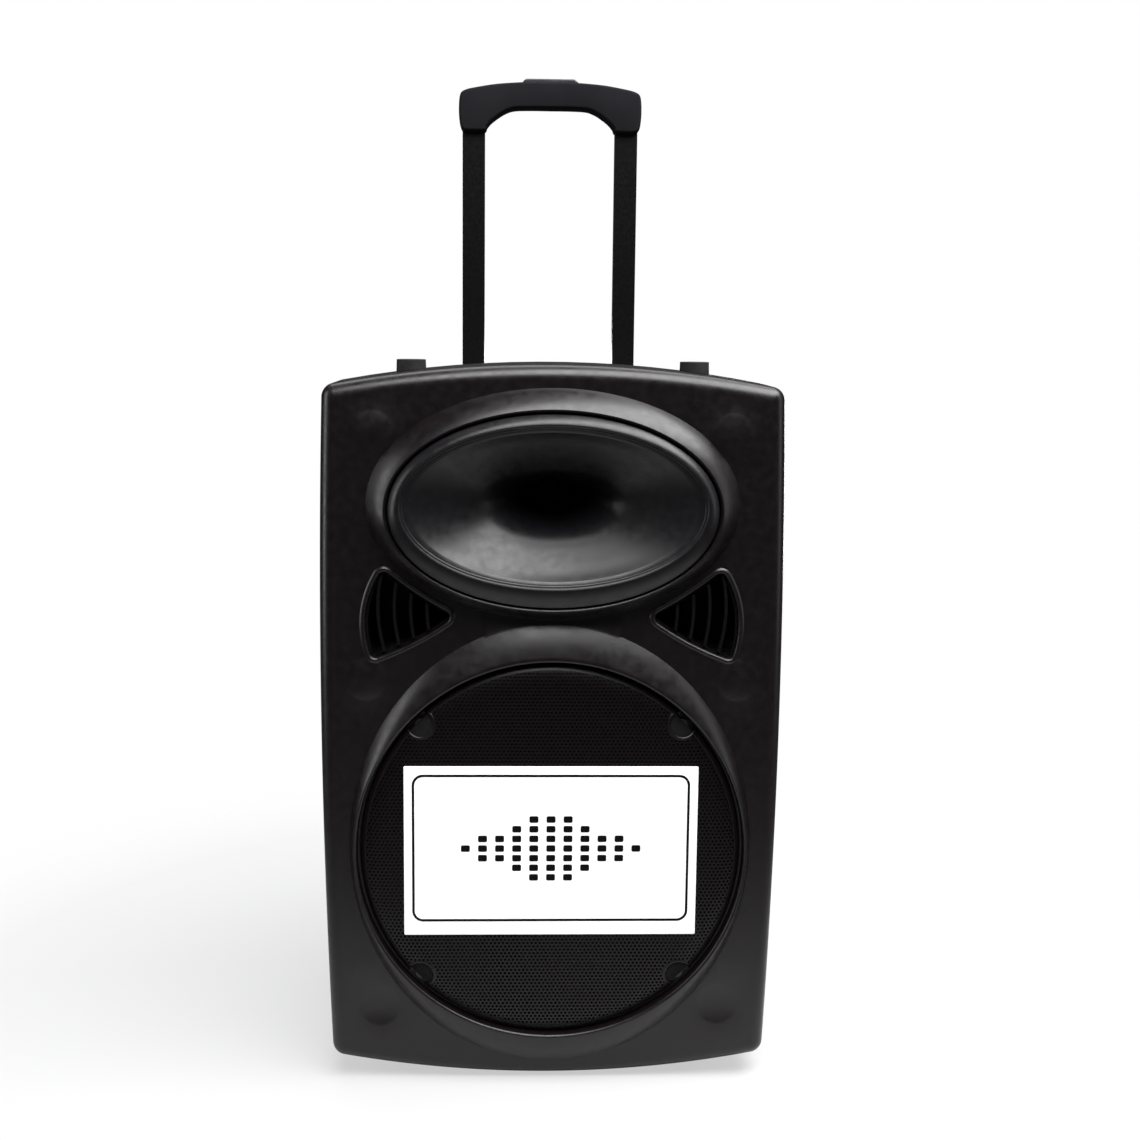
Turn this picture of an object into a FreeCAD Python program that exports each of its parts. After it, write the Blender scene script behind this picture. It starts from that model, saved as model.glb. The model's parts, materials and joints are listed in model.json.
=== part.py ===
"""Party speaker: a two-way trolley loudspeaker with a pull-up handle and two wheels.

Frame: the front faces -Y, +X is to the right seen from the front, +Z is up. The origin lies
on the ground under the middle of the cabinet's overall box. All sizes are millimetres.
"""

import FreeCAD
import Part
import Sketcher
import math
import os

Vector = FreeCAD.Vector
doc = FreeCAD.newDocument("party_speaker")
sheet = doc.addObject("Spreadsheet::Sheet", "Dimensions")


# ---------------------------------------------------------------- driving dimensions

class Size:
    """A length that remembers the sheet expression it comes from."""

    def __init__(self, value, text):
        self.value = float(value)
        self.text = text

    def __float__(self):
        return self.value

    def __neg__(self):
        return Size(-self.value, f"(0 - {self.text})")

    def __add__(self, other):
        return Size(self.value + float(other), f"({self.text} + {words(other)})")

    def __radd__(self, other):
        return Size(float(other) + self.value, f"({words(other)} + {self.text})")

    def __sub__(self, other):
        return Size(self.value - float(other), f"({self.text} - {words(other)})")

    def __rsub__(self, other):
        return Size(float(other) - self.value, f"({words(other)} - {self.text})")

    def __mul__(self, other):
        return Size(self.value * float(other), f"({self.text} * {words(other)})")

    __rmul__ = __mul__

    def __truediv__(self, other):
        return Size(self.value / float(other), f"({self.text} / {words(other)})")


def words(size):
    """The expression text of a Size or of a plain number."""
    return size.text if isinstance(size, Size) else f"{float(size):g}"


class Dimensions:
    """The driving dimensions, one attribute for each sheet alias."""


dims = Dimensions()


def set_dimensions(first_row, table):
    """Writes one line of the sheet for each (alias, value, meaning)."""
    for row, (alias, value, meaning) in enumerate(table, first_row):
        sheet.set(f"A{row}", meaning)
        sheet.set(f"B{row}", str(value))
        sheet.setAlias(f"B{row}", alias)
        setattr(dims, alias, Size(value, f"Dimensions.{alias}"))
    return first_row + len(table)


next_row = set_dimensions(1, [
    ("overall_depth", 380, "front of the horn mouth to the back of the wheels"),
    ("horn_height", 28, "horn mouth in front of the front face"),
    ("front_to_seam", 45, "front face to the seam between baffle and rear shell"),
    ("front_to_taper", 102, "front face to where the rear shell begins to narrow"),
    ("front_to_rear", 342, "front face to the rear wall's outer face"),
    ("cabinet_half_width", 229, "half the widest width of the front"),
    ("cabinet_rear_half_width", 165, "half the width at the rear wall"),
    ("cabinet_bottom", 3.4, "lowest point of the bowed bottom edge"),
    ("cabinet_top", 729.4, "highest point of the bowed top edge"),
    ("cabinet_bow", 22, "how far the front's top and bottom edges bow"),
    ("rear_bottom", 14, "bottom of the rear wall"),
    ("rear_top", 705, "top of the rear wall"),
    ("rear_bow", 9, "bow of the rear wall's top and bottom edges"),
    ("corner_radius", 14, "cabinet corner radius"),
    ("front_edge_radius", 15, "rounding of the front's outer edge"),
    ("wall", 4, "moulded wall thickness"),
    ("gap", 0.3, "assembly gap between neighbouring pieces"),
])
next_row = set_dimensions(next_row, [
    ("woofer_level", 247, "height of the woofer's axis"),
    ("woofer_cutout_radius", 168, "baffle opening for the cone"),
    ("woofer_frame_radius", 192, "outer radius of the driver's frame"),
    ("woofer_collar_half_width", 201, "outer half width of the raised woofer collar"),
    ("woofer_collar_half_height", 228, "outer half height of the raised woofer collar"),
    ("woofer_collar_rise", 14, "woofer collar in front of the front face"),
    ("woofer_rim_radius", 193, "inner radius of the woofer collar"),
    ("grille_radius", 190.5, "outer radius of the woofer grille"),
    ("grille_rise", 10, "flat of the grille in front of the front face"),
    ("grille_sheet", 1.2, "grille sheet thickness"),
    ("grille_screw_offset", 130, "grille screws, sideways and up from the woofer's axis"),
    ("grille_notch_radius", 13, "rounded notch round each grille screw"),
    ("badge_width", 292, "badge plate width"),
    ("badge_height", 174, "badge plate height"),
    ("badge_thickness", 2, "badge plate thickness"),
    ("badge_level", 248, "height of the badge plate's middle"),
    ("horn_level", 594, "height of the horn mouth's middle"),
    ("horn_collar_half_width", 182, "outer half width of the horn collar"),
    ("horn_collar_half_height", 113, "outer half height of the horn collar"),
    ("horn_collar_rise", 20, "horn collar in front of the front face"),
    ("horn_seat_level", 589.5, "height of the horn lip's middle"),
    ("horn_seat_half_width", 161, "half width of the seat the horn lip drops into"),
    ("horn_seat_half_height", 95, "half height of the seat the horn lip drops into"),
    ("horn_mouth_half_width", 145, "half width of the horn mouth"),
    ("horn_mouth_half_height", 75, "half height of the horn mouth"),
    ("horn_depth", 150, "horn mouth to throat"),
    ("horn_throat_radius", 12.7, "throat of a one inch compression driver"),
])
next_row = set_dimensions(next_row, [
    ("tube_half_spacing", 85.5, "half the distance between the handle tubes"),
    ("tube_width", 25, "handle tube section, sideways"),
    ("tube_thickness", 16, "handle tube section, front to back"),
    ("tube_wall", 1.5, "handle tube wall"),
    ("tube_level", 148, "handle tubes behind the cabinet's middle"),
    ("tube_bottom", 560, "lower end of the handle tubes, handle pulled up"),
    ("grip_bottom", 978, "lower end of the grip's sockets"),
    ("grip_top", 1033, "highest point of the grip"),
    ("grip_half_width", 102, "half the grip's length"),
    ("grip_thickness", 34, "grip, front to back"),
    ("handle_travel", 340, "travel of the handle"),
    ("guide_width", 30, "guide tube section, sideways"),
    ("guide_thickness", 21, "guide tube section, front to back"),
    ("guide_bottom", 205, "lower end of the guide tubes"),
    ("recess_floor", 635, "floor of the handle recess"),
    ("recess_half_width", 112, "half width of the handle recess"),
    ("recess_front", 122, "front wall of the handle recess"),
    ("button_half_width", 31, "half the release button's length"),
    ("button_travel", 4, "travel of the release button"),
    ("pin_travel", 3, "travel of the lock pins"),
    ("pin_level", 575, "height of the lock pins, handle pulled up"),
    ("wheel_radius", 45, "outer radius of the wheels"),
    ("wheel_width", 30, "width of the wheels"),
    ("wheel_offset", 139, "middle of each wheel from the middle of the speaker"),
    ("wheel_clearance", 2, "wheels above the ground, speaker standing"),
    ("axle_radius", 4, "wheel axle radius"),
    ("foot_offset", 141, "feet from the middle of the speaker"),
    ("foot_setback", 62, "front feet behind the front face"),
    ("foot_radius", 14.5, "rubber foot radius"),
    ("top_foot_level", 731.5, "top of the stacking feet"),
    ("pole_radius", 17.75, "bore for a 35 mm stand pole"),
    ("pole_depth", 80, "depth of the stand pole bore"),
])
next_row = set_dimensions(next_row, [
    ("panel_half_width", 90, "half width of the amplifier panel"),
    ("panel_low", 185, "lower edge of the amplifier panel"),
    ("panel_high", 560, "upper edge of the amplifier panel"),
    ("panel_thickness", 2.5, "amplifier panel thickness"),
    ("panel_recess", 6, "amplifier panel's rebate in the rear wall"),
    ("knob_radius", 9.5, "control knob radius"),
    ("knob_height", 12, "control knob height"),
    ("knob_pitch", 34, "distance between control knobs"),
    ("knob_level", 425, "height of the control knobs"),
    ("jack_radius", 3.3, "bore of the 6.35 mm jack sockets"),
    ("jack_level", 375, "height of the jack sockets"),
    ("jack_pitch", 44, "distance between jack sockets"),
    ("media_level", 522, "height of the media module's middle"),
    ("media_key_level", 484, "height of the media keys"),
    ("key_pitch", 26, "distance between media keys"),
    ("key_travel", 1, "travel of a media key"),
    ("mains_level", 215, "height of the mains inlet and the power switch"),
    ("rocker_swing", 12, "power switch swing each way, degrees"),
])
doc.recompute()

front = -dims.overall_depth / 2 + dims.horn_height
seam = front + dims.front_to_seam
taper = front + dims.front_to_taper
rear = front + dims.front_to_rear
panel_back = rear - dims.panel_recess
panel_face = panel_back + dims.panel_thickness
wheel_level = dims.wheel_radius + dims.wheel_clearance
wheel_depth = dims.overall_depth / 2 - dims.wheel_radius
grille_face = front - dims.grille_rise

FORWARD = FreeCAD.Rotation(Vector(1, 0, 0), 90)
BACKWARD = FreeCAD.Rotation(Vector(1, 0, 0), -90)
UPWARD = FreeCAD.Rotation()
BACKWARD_UPRIGHT = FreeCAD.Rotation(Vector(-1, 0, 0), Vector(0, 0, 1), Vector(0, 1, 0))
RIGHTWARD = FreeCAD.Rotation(Vector(0, 1, 0), 90)
LEFTWARD = FreeCAD.Rotation(Vector(0, 1, 0), -90)
SIDES = (("left", -1), ("right", 1))
NODES = []


# ---------------------------------------------------------------- ways of making a piece

def keep(piece):
    """Notes a finished sub-part, whose Label names its file."""
    NODES.append(piece)
    return piece


def place(piece, position, rotation=UPWARD):
    """Puts a piece at (x, y, z), bound to the sheet where a coordinate is a Size."""
    x, y, z = (float(value) for value in position)
    piece.Placement = FreeCAD.Placement(Vector(x, y, z), rotation)
    for axis, value in zip("xyz", position):
        if isinstance(value, Size):
            piece.setExpression(f"Placement.Base.{axis}", value.text)
    return piece


def bind(piece, **sizes):
    """Sets properties, bound to the sheet where the value is a Size."""
    for name, value in sizes.items():
        setattr(piece, name, float(value))
        if isinstance(value, Size):
            piece.setExpression(name, value.text)
    return piece


def new_body(name):
    body = doc.addObject("PartDesign::Body", name)
    body.Label = name
    return body


def new_sketch(body, name, role, offset=0):
    """A sketch on one of the body's own origin planes."""
    sketch = body.newObject("Sketcher::SketchObject", f"{body.Name}_{name}")
    planes = [item for item in body.Origin.OriginFeatures if item.Role == role]
    sketch.AttachmentSupport = (planes[0], [""])
    sketch.MapMode = "FlatFace"
    if isinstance(offset, Size):
        sketch.setExpression("AttachmentOffset.Base.z", offset.text)
    else:
        sketch.AttachmentOffset = FreeCAD.Placement(Vector(0, 0, offset), UPWARD)
    return sketch


def hold(sketch, constraint, size):
    index = sketch.addConstraint(constraint)
    if isinstance(size, Size):
        sketch.setExpression(f"Constraints[{index}]", size.text)


def draw_outline(sketch, corners):
    """A closed straight-sided outline whose corners are held from the origin."""
    count = len(corners)
    start = sketch.GeometryCount
    points = [Vector(float(x), float(y), 0) for x, y in corners]
    for i in range(count):
        sketch.addGeometry(Part.LineSegment(points[i], points[(i + 1) % count]), False)
    for i, (x, y) in enumerate(corners):
        line, after = start + i, start + (i + 1) % count
        sketch.addConstraint(Sketcher.Constraint("Coincident", line, 2, after, 1))
        for kind, size, axis in (("DistanceX", x, -2), ("DistanceY", y, -1)):
            if float(size) == 0:
                sketch.addConstraint(Sketcher.Constraint("PointOnObject", line, 1, axis))
            else:
                hold(sketch, Sketcher.Constraint(kind, -1, 1, line, 1, float(size)), size)


def draw_circle(sketch, radius, x=0, y=0):
    centre = Vector(float(x), float(y), 0)
    index = sketch.addGeometry(Part.Circle(centre, Vector(0, 0, 1), float(radius)), False)
    hold(sketch, Sketcher.Constraint("Radius", index, float(radius)), radius)
    for kind, size, axis in (("DistanceX", x, -2), ("DistanceY", y, -1)):
        if float(size) == 0:
            sketch.addConstraint(Sketcher.Constraint("PointOnObject", index, 3, axis))
        else:
            hold(sketch, Sketcher.Constraint(kind, -1, 1, index, 3, float(size)), size)


def draw_rectangle(sketch, half_width, half_height, x=0, y=0):
    draw_outline(sketch, [(x - half_width, y - half_height), (x + half_width, y - half_height),
                          (x + half_width, y + half_height), (x - half_width, y + half_height)])


def turned(name, profile, position, rotation=UPWARD):
    """A body revolved about its own Z axis from (radius, height) corners."""
    body = new_body(name)
    sketch = new_sketch(body, "profile", "XZ_Plane")
    draw_outline(sketch, profile)
    turn = body.newObject("PartDesign::Revolution", f"{name}_turn")
    turn.Profile = sketch
    turn.ReferenceAxis = (sketch, ["V_Axis"])
    turn.Angle = 360.0
    body.Tip = turn
    place(body, position, rotation)
    return keep(body)


def padded(body, draw, length, offset=0, role="XY_Plane", name="outline"):
    """Pads what draw(sketch) draws along the plane's normal."""
    sketch = new_sketch(body, name, role, offset)
    draw(sketch)
    pad = body.newObject("PartDesign::Pad", f"{body.Name}_{name}_pad")
    pad.Profile = sketch
    bind(pad, Length=length)
    body.Tip = pad
    doc.recompute()
    return pad


def pocketed(body, draw, depth, offset=0, role="XY_Plane", name="pocket", reverse=False):
    """Cuts what draw(sketch) draws, and makes sure that material went away."""
    before = body.Shape.Volume
    sketch = new_sketch(body, name, role, offset)
    draw(sketch)
    pocket = body.newObject("PartDesign::Pocket", f"{body.Name}_{name}_cut")
    pocket.Profile = sketch
    bind(pocket, Length=depth)
    pocket.Reversed = reverse
    body.Tip = pocket
    doc.recompute()
    if body.Shape.Volume > before - 1e-3:
        raise RuntimeError(f"{body.Name}: {name} cuts nothing")
    return pocket


def around(body, feature, count):
    """Repeats a feature about the body's Z axis."""
    pattern = body.newObject("PartDesign::PolarPattern", f"{feature.Name}_ring")
    pattern.Originals = [feature]
    axes = [item for item in body.Origin.OriginFeatures if item.Role == "Z_Axis"]
    pattern.Axis = (axes[0], [""])
    pattern.Angle = 360.0
    pattern.Occurrences = count
    body.Tip = pattern
    doc.recompute()
    return pattern


def box(name, low, high):
    """A Part::Box between two corners."""
    piece = doc.addObject("Part::Box", name)
    lengths = [b - a for a, b in zip(low, high)]
    bind(piece, Length=lengths[0], Width=lengths[1], Height=lengths[2])
    return place(piece, low)


def cylinder(name, radius, length, position, rotation=UPWARD):
    piece = doc.addObject("Part::Cylinder", name)
    bind(piece, Radius=radius, Height=length)
    return place(piece, position, rotation)


def joined(name, pieces):
    fuse = doc.addObject("Part::MultiFuse", name)
    fuse.Shapes = pieces
    fuse.Label = name
    return fuse


def cut(name, base, tools):
    """A Part::Cut of base by one tool or by several fused together."""
    tool = tools[0] if len(tools) == 1 else joined(f"{name}_tools", tools)
    result = doc.addObject("Part::Cut", name)
    result.Base = base
    result.Tool = tool
    result.Label = name
    return result


def shaped(name, shape):
    """A Part::Feature for a form that no primitive or body feature makes."""
    piece = doc.addObject("Part::Feature", name)
    piece.Label = name
    piece.Shape = shape
    return keep(piece)


def at(x, y, z):
    return Vector(float(x), float(y), float(z))


def block(low, high):
    """A plain box shape between two corners."""
    low, high = at(*low), at(*high)
    span = high - low
    return Part.makeBox(span.x, span.y, span.z, low)


def rod(radius, start, end):
    """A plain cylinder shape from start to end."""
    start, end = at(*start), at(*end)
    return Part.makeCylinder(float(radius), (end - start).Length, start, end - start)


def oval(half_width, half_height, level, y):
    """An upright ellipse facing the front, always starting at its right end."""
    circle = Part.makeCircle(1, Vector(), Vector(0, -1, 0))
    stretch = FreeCAD.Matrix()
    stretch.scale(float(half_width), 1, float(half_height))
    stretch.move(at(0, y, level))
    return Part.Wire(circle.transformGeometry(stretch))


def oval_loft(sections):
    """A solid through (half width, half height, level, y) ovals."""
    return Part.makeLoft([oval(*section) for section in sections], True, False)


def oval_bore(half_width, half_height, level, start, end):
    wires = [oval(half_width, half_height, level, y) for y in (start, end)]
    return Part.makeLoft(wires, True, True)


def screw(position, direction, head_radius, head_height, shank_radius, length):
    """A pan head screw; position is under the head and direction is where it points."""
    direction = Vector(*direction)
    start = at(*position)
    head = Part.makeCylinder(head_radius, head_height, start, -direction)
    slot_depth = head_height * 0.5
    recess = Part.makeCylinder(head_radius * 0.3, slot_depth, start - direction * head_height,
                               direction)
    shank = Part.makeCylinder(shank_radius, length, start, direction)
    return head.fuse(shank).removeSplitter().cut(recess)


# ---------------------------------------------------------------- cabinet

FRONT_TAPER, REAR_TAPER = 8.0, 4.0
SHOULDER_SHARE = 0.6
WIDEST_SHARE = 0.53


def outline_wire(y, half_width, bottom, top, bow, taper, inset=0.0):
    """The cabinet's outline at depth y: four shallow arcs with rounded corners.

    Each side is widest a little above the middle, narrower by `taper` at the foot and by a
    share of it at the shoulder.
    """
    half = float(half_width) - inset
    low, high, bow = float(bottom) + inset, float(top) - inset, float(bow)
    shoulder, foot = half - SHOULDER_SHARE * taper, half - taper
    widest = low + WIDEST_SHARE * (high - low)
    corners = [at(foot, y, low + bow), at(shoulder, y, high - bow),
               at(-shoulder, y, high - bow), at(-foot, y, low + bow)]
    middles = [at(half, y, widest), at(0, y, high), at(-half, y, widest), at(0, y, low)]
    edges = [Part.Arc(corners[i], middles[i], corners[(i + 1) % 4]).toShape() for i in range(4)]
    slab = Part.Face(Part.Wire(edges)).extrude(Vector(0, 1, 0))
    upright = [edge for edge in slab.Edges if is_along_depth(edge)]
    radius = max(float(dims.corner_radius) - inset, 4)
    slab = slab.makeFillet(radius, upright)
    faces = [face for face in slab.Faces if abs(face.CenterOfMass.y - float(y)) < 1e-6]
    return faces[0].OuterWire


def is_along_depth(edge):
    """Whether the edge runs straight front to back."""
    if len(edge.Vertexes) < 2:
        return False
    first, last = (vertex.Point for vertex in edge.Vertexes)
    return abs((last - first).normalize().y) > 0.999


def front_outline(y, inset=0.0):
    return outline_wire(y, dims.cabinet_half_width, dims.cabinet_bottom, dims.cabinet_top,
                        dims.cabinet_bow, FRONT_TAPER, inset)


def rear_outline(y, inset=0.0):
    return outline_wire(y, dims.cabinet_rear_half_width, dims.rear_bottom, dims.rear_top,
                        dims.rear_bow, REAR_TAPER, inset)


def thick(wire, depth):
    return Part.Face(wire).extrude(Vector(0, float(depth), 0))


VENT_CORNERS = ((-166, 530), (-96, 484), (-177, 441))
VENT_MIDDLES = ((-137, 508), (-140, 456.5), (-181.5, 492))
VENT_CORNER_RADIUS = 6
CABINET_SCREWS = [(side * x, z) for side in (-1, 1)
                  for x, z in ((203, 90), (211, 330), (211, 560), (120, 703), (120, 30))]
GRILLE_SCREWS = [(side * float(dims.grille_screw_offset),
                  float(dims.woofer_level) + up * float(dims.grille_screw_offset))
                 for side in (-1, 1) for up in (-1, 1)]
WOOFER_BOLT_CIRCLE = 182
WOOFER_BOLTS = 8
WOOFER_SCREWS = [(WOOFER_BOLT_CIRCLE * math.cos(math.pi * (2 * step + 1) / WOOFER_BOLTS),
                  float(dims.woofer_level)
                  + WOOFER_BOLT_CIRCLE * math.sin(math.pi * (2 * step + 1) / WOOFER_BOLTS))
                 for step in range(WOOFER_BOLTS)]
BUMPS = ((174, 664, 1), (184, 420, 1), (172, 81, -1))
BUMP_RADIUS = 23
BUMP_RISE = 2.5
BAFFLE_THICKNESS = 5
COLLAR_FLOOR = 8


def vent_prism(side, start, end, inset=0.0):
    """The rounded three-sided vent beside the horn, from depth start to end."""
    corners = [at(-side * x, start, z) for x, z in VENT_CORNERS]
    middles = [at(-side * x, start, z) for x, z in VENT_MIDDLES]
    edges = [Part.Arc(corners[i], middles[i], corners[(i + 1) % 3]).toShape() for i in range(3)]
    wire = Part.Wire(edges)
    if inset:
        wire = wire.makeOffset2D(-inset)
    prism = Part.Face(wire).extrude(Vector(0, float(end) - float(start), 0))
    if inset:
        return prism
    return prism.makeFillet(VENT_CORNER_RADIUS, [edge for edge in prism.Edges
                                                 if is_along_depth(edge)])


def bump(x, z, rise):
    """A shallow round dome standing out of the front, or the ball that cuts a dish."""
    radius = (BUMP_RADIUS ** 2 + BUMP_RISE ** 2) / (2 * BUMP_RISE)
    centre = float(front) + rise * (radius - BUMP_RISE)
    return Part.makeSphere(radius, Vector(x, centre, z))


def make_front_baffle():
    face_y = float(front)
    outer = thick(front_outline(front), dims.front_to_seam)
    rim = [edge for edge in outer.Edges if all(abs(v.Y - face_y) < 1e-6 for v in edge.Vertexes)]
    outer = outer.makeFillet(float(dims.front_edge_radius), rim)
    wall = float(dims.wall)
    hollow = thick(front_outline(front + BAFFLE_THICKNESS, wall), dims.front_to_seam)
    shell = outer.cut(hollow)
    edge_fill = thick(front_outline(front + 1, wall - 2), 14)
    edge_fill = edge_fill.cut(thick(front_outline(front, 16), 20))
    shell = shell.fuse(edge_fill.common(outer))

    level, rise = float(dims.woofer_level), float(dims.woofer_collar_rise)
    half_x, half_z = dims.woofer_collar_half_width, dims.woofer_collar_half_height
    middle = level + 2
    rim_radius = float(dims.woofer_rim_radius) + 3
    collar = oval_loft([(half_x, half_z, middle, face_y + 2),
                        (half_x - 0.5, half_z - 2, middle, face_y - 0.3 * rise),
                        (half_x - 2, half_z - 12, middle - 0.5, face_y - 0.8 * rise),
                        (rim_radius, rim_radius, level, face_y - rise)])
    horn = oval_loft([
        (dims.horn_collar_half_width, dims.horn_collar_half_height, dims.horn_level, face_y + 2),
        (dims.horn_collar_half_width - 2, dims.horn_collar_half_height - 2, dims.horn_level,
         face_y - 8),
        (dims.horn_collar_half_width - 9, dims.horn_collar_half_height - 8,
         dims.horn_level - 2, front - 0.85 * dims.horn_collar_rise),
        (dims.horn_seat_half_width + 3, dims.horn_seat_half_height + 3, dims.horn_seat_level,
         front - dims.horn_collar_rise)])
    bosses = [rod(4.5, (x, front + 2, z), (x, seam - dims.gap, z)) for x, z in CABINET_SCREWS]
    shell = shell.fuse([collar, horn] + bosses)

    recess = rod(dims.woofer_rim_radius, (0, face_y - 30, level), (0, face_y, level))
    cone_hole = rod(dims.woofer_cutout_radius, (0, face_y - 30, level), (0, face_y + 30, level))
    seat = oval_bore(dims.horn_seat_half_width, dims.horn_seat_half_height,
                     dims.horn_seat_level, face_y - 40, face_y - COLLAR_FLOOR)
    throat = oval_bore(dims.horn_seat_half_width - 10, dims.horn_seat_half_height - 10,
                       dims.horn_seat_level, face_y - 40, face_y + 30)
    vents = [vent_prism(side, face_y - 40, face_y + 30) for _, side in SIDES]
    pilots = [rod(1.9, (x, front + 12, z), (x, seam + 1, z)) for x, z in CABINET_SCREWS]
    pilots += [rod(1.9, (x, face_y - 1, z), (x, face_y + 6, z)) for x, z in GRILLE_SCREWS]
    pilots += [rod(2.4, (x, face_y + 1, z), (x, face_y + 6, z)) for x, z in WOOFER_SCREWS]
    shell = shell.cut([recess, cone_hole, seat, throat] + vents + pilots)
    front_slab = thick(front_outline(front - 5, 18), 6)
    domes = [bump(side * x, z, 1) for side in (-1, 1) for x, z, way in BUMPS if way > 0]
    shell = shell.fuse([dome.common(front_slab) for dome in domes])
    dishes = [bump(side * x, z, -1) for side in (-1, 1) for x, z, way in BUMPS if way < 0]
    return shell.cut(dishes)


def shell_loft(inset=0.0):
    """The rear shell's outer form, or the space inside it where inset is the wall."""
    end = rear if inset == 0 else rear - inset
    sections = [front_outline(seam, inset), front_outline(taper, inset + 1e-3),
                rear_outline(end, inset)]
    return Part.makeLoft(sections, True, True)


def shell_recesses(grow=0.0):
    """What is taken out of the rear shell's outline: handle, panel, wheels, side handles."""
    spaces = [block((-(dims.recess_half_width + grow), dims.recess_front - grow,
                     dims.recess_floor - grow),
                    (dims.recess_half_width + grow, 260, 900)),
              block((-(dims.panel_half_width + 1 + grow), panel_back - grow,
                     dims.panel_low - 1 - grow),
                    (dims.panel_half_width + 1 + grow, 260, dims.panel_high + 1 + grow))]
    for _, side in SIDES:
        inner, outer = side * (dims.wheel_offset - 21 - grow), side * 260
        spaces.append(block((min(float(inner), outer), wheel_depth - 53 - grow, -50),
                            (max(float(inner), outer), 260, wheel_level + 53 + grow)))
        spaces.append(side_cup_space(side, grow))
    return spaces


CUP_FRONT, CUP_BACK, CUP_LOW, CUP_HIGH, CUP_INNER = 2, 118, 424, 500, 150


def side_cup_space(side, grow=0.0):
    inner, outer = side * (CUP_INNER - grow), side * 260
    return block((min(inner, outer), CUP_FRONT - grow, CUP_LOW - grow),
                 (max(inner, outer), CUP_BACK + grow, CUP_HIGH + grow))


def guide_centres():
    return [(side * float(dims.tube_half_spacing), float(dims.tube_level)) for _, side in SIDES]


def make_rear_shell():
    wall = float(dims.wall)
    outer = shell_loft().cut(shell_recesses())
    inner = shell_loft(wall).cut(shell_recesses(wall))
    shell = outer.cut(inner)
    lip = thick(front_outline(seam, wall - 1), 4).cut(thick(front_outline(seam - 1, 14), 8))
    tabs = [rod(7, (x, seam, z), (x, seam + 4, z)) for x, z in CABINET_SCREWS]
    shell = shell.fuse([lip.common(shell_loft())] + [t.common(shell_loft()) for t in tabs])
    holes = [rod(2.2, (x, seam - 1, z), (x, seam + 6, z)) for x, z in CABINET_SCREWS]
    holes.append(block((-66, panel_back - 10, dims.panel_low + 12),
                       (66, rear + 5, dims.panel_high - 12)))
    holes.append(rod(dims.axle_radius + 0.05, (-250, wheel_depth, wheel_level),
                     (250, wheel_depth, wheel_level)))
    holes.append(rod(dims.pole_radius + 3.3, (0, -20, -10), (0, -20, 60)))
    for x, y in guide_centres():
        half_x = float(dims.guide_width) / 2 + 0.3
        half_y = float(dims.guide_thickness) / 2 + 0.3
        floor = float(dims.recess_floor)
        holes.append(block((x - half_x, y - half_y, floor - 20), (x + half_x, y + half_y, floor + 9)))
    holes += [rod(1.7, (x, panel_back - 8, z), (x, rear, z)) for x, z in PANEL_SCREWS]
    return shell.cut(holes)


PANEL_SCREWS = [(side * (float(dims.panel_half_width) - 7), float(z)) for side in (-1, 1)
                for z in (dims.panel_low + 8, (dims.panel_low + dims.panel_high) / 2,
                          dims.panel_high - 8)]


def make_side_cup(side):
    """Finger cup pressed into the side wall, flush with the tapered side."""
    wall = 2.5
    outer = side_cup_space(side, -float(dims.gap)).common(shell_loft())
    inner = side * (CUP_INNER + wall)
    far = side * 260
    hollow = block((min(inner, far), CUP_FRONT + wall + 1, CUP_LOW + wall + 1),
                   (max(inner, far), CUP_BACK - wall - 1, CUP_HIGH - 22))
    undercut = block((min(inner, side * 172), CUP_FRONT + wall + 1, CUP_LOW + wall + 1),
                     (max(inner, side * 172), CUP_BACK - wall - 1, CUP_HIGH - wall - 1))
    return outer.cut([hollow, undercut])


def make_handle_bezel():
    """Liner of the handle recess, with the mouths of the guide tubes."""
    wall, gap = 2.5, float(dims.gap)
    half = float(dims.recess_half_width) - gap
    start, floor = dims.recess_front + gap, dims.recess_floor + gap
    outer = block((-half, start, floor), (half, rear - 0.5, 900)).common(shell_loft())
    hollow = block((-half + wall, start + wall, floor + wall), (half - wall, 260, 900))
    tray = outer.cut(hollow)
    mouths = []
    for x, y in guide_centres():
        half_x = float(dims.guide_width) / 2 + 0.3
        half_y = float(dims.guide_thickness) / 2 + 0.3
        mouths.append(block((x - half_x, y - half_y, floor - 20),
                            (x + half_x, y + half_y, floor + 20)))
    return tray.cut(mouths)


REAR_FOOT = (95, 62)


def make_feet(level, places, up):
    """Tapered rubber feet on both sides, trimmed to the cabinet's top or bottom surface."""
    body = shell_loft()
    radius = float(dims.foot_radius)
    pieces = []
    for side in (-1, 1):
        for x, y in places:
            start = at(side * x, y, level)
            foot = Part.makeCone(radius, radius + 1, 40, start, Vector(0, 0, up))
            pieces.append(foot.cut(body))
    return Part.makeCompound(pieces)


shaped("front_baffle", make_front_baffle())
shaped("rear_shell", make_rear_shell())
for side_name, side in SIDES:
    shaped(f"side_cup_{side_name}", make_side_cup(side))
shaped("handle_bezel", make_handle_bezel())
front_foot = (dims.foot_offset, front + dims.foot_setback)
shaped("feet_bottom", make_feet(0, [front_foot, REAR_FOOT], 1))
shaped("feet_top", make_feet(dims.top_foot_level, [front_foot], -1))
shaped("cabinet_screws", Part.makeCompound([
    screw((x, seam + 4.1, z), (0, -1, 0), 3.8, 2.6, 1.85, 26) for x, z in CABINET_SCREWS]))


# ---------------------------------------------------------------- woofer and grille

def forward(distance):
    """Depth of a point that far in front of the front face, as a Size."""
    return front - distance


woofer_seat = front + BAFFLE_THICKNESS + dims.gap
WOOFER_BEHIND = (0, woofer_seat, dims.woofer_level)
# Profiles below are (radius, distance behind the baffle), revolved about the woofer's axis.
CONE_OUTER, CONE_INNER, COIL_RADIUS, BASKET_DEPTH = 149, 38.5, 38, 96


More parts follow.
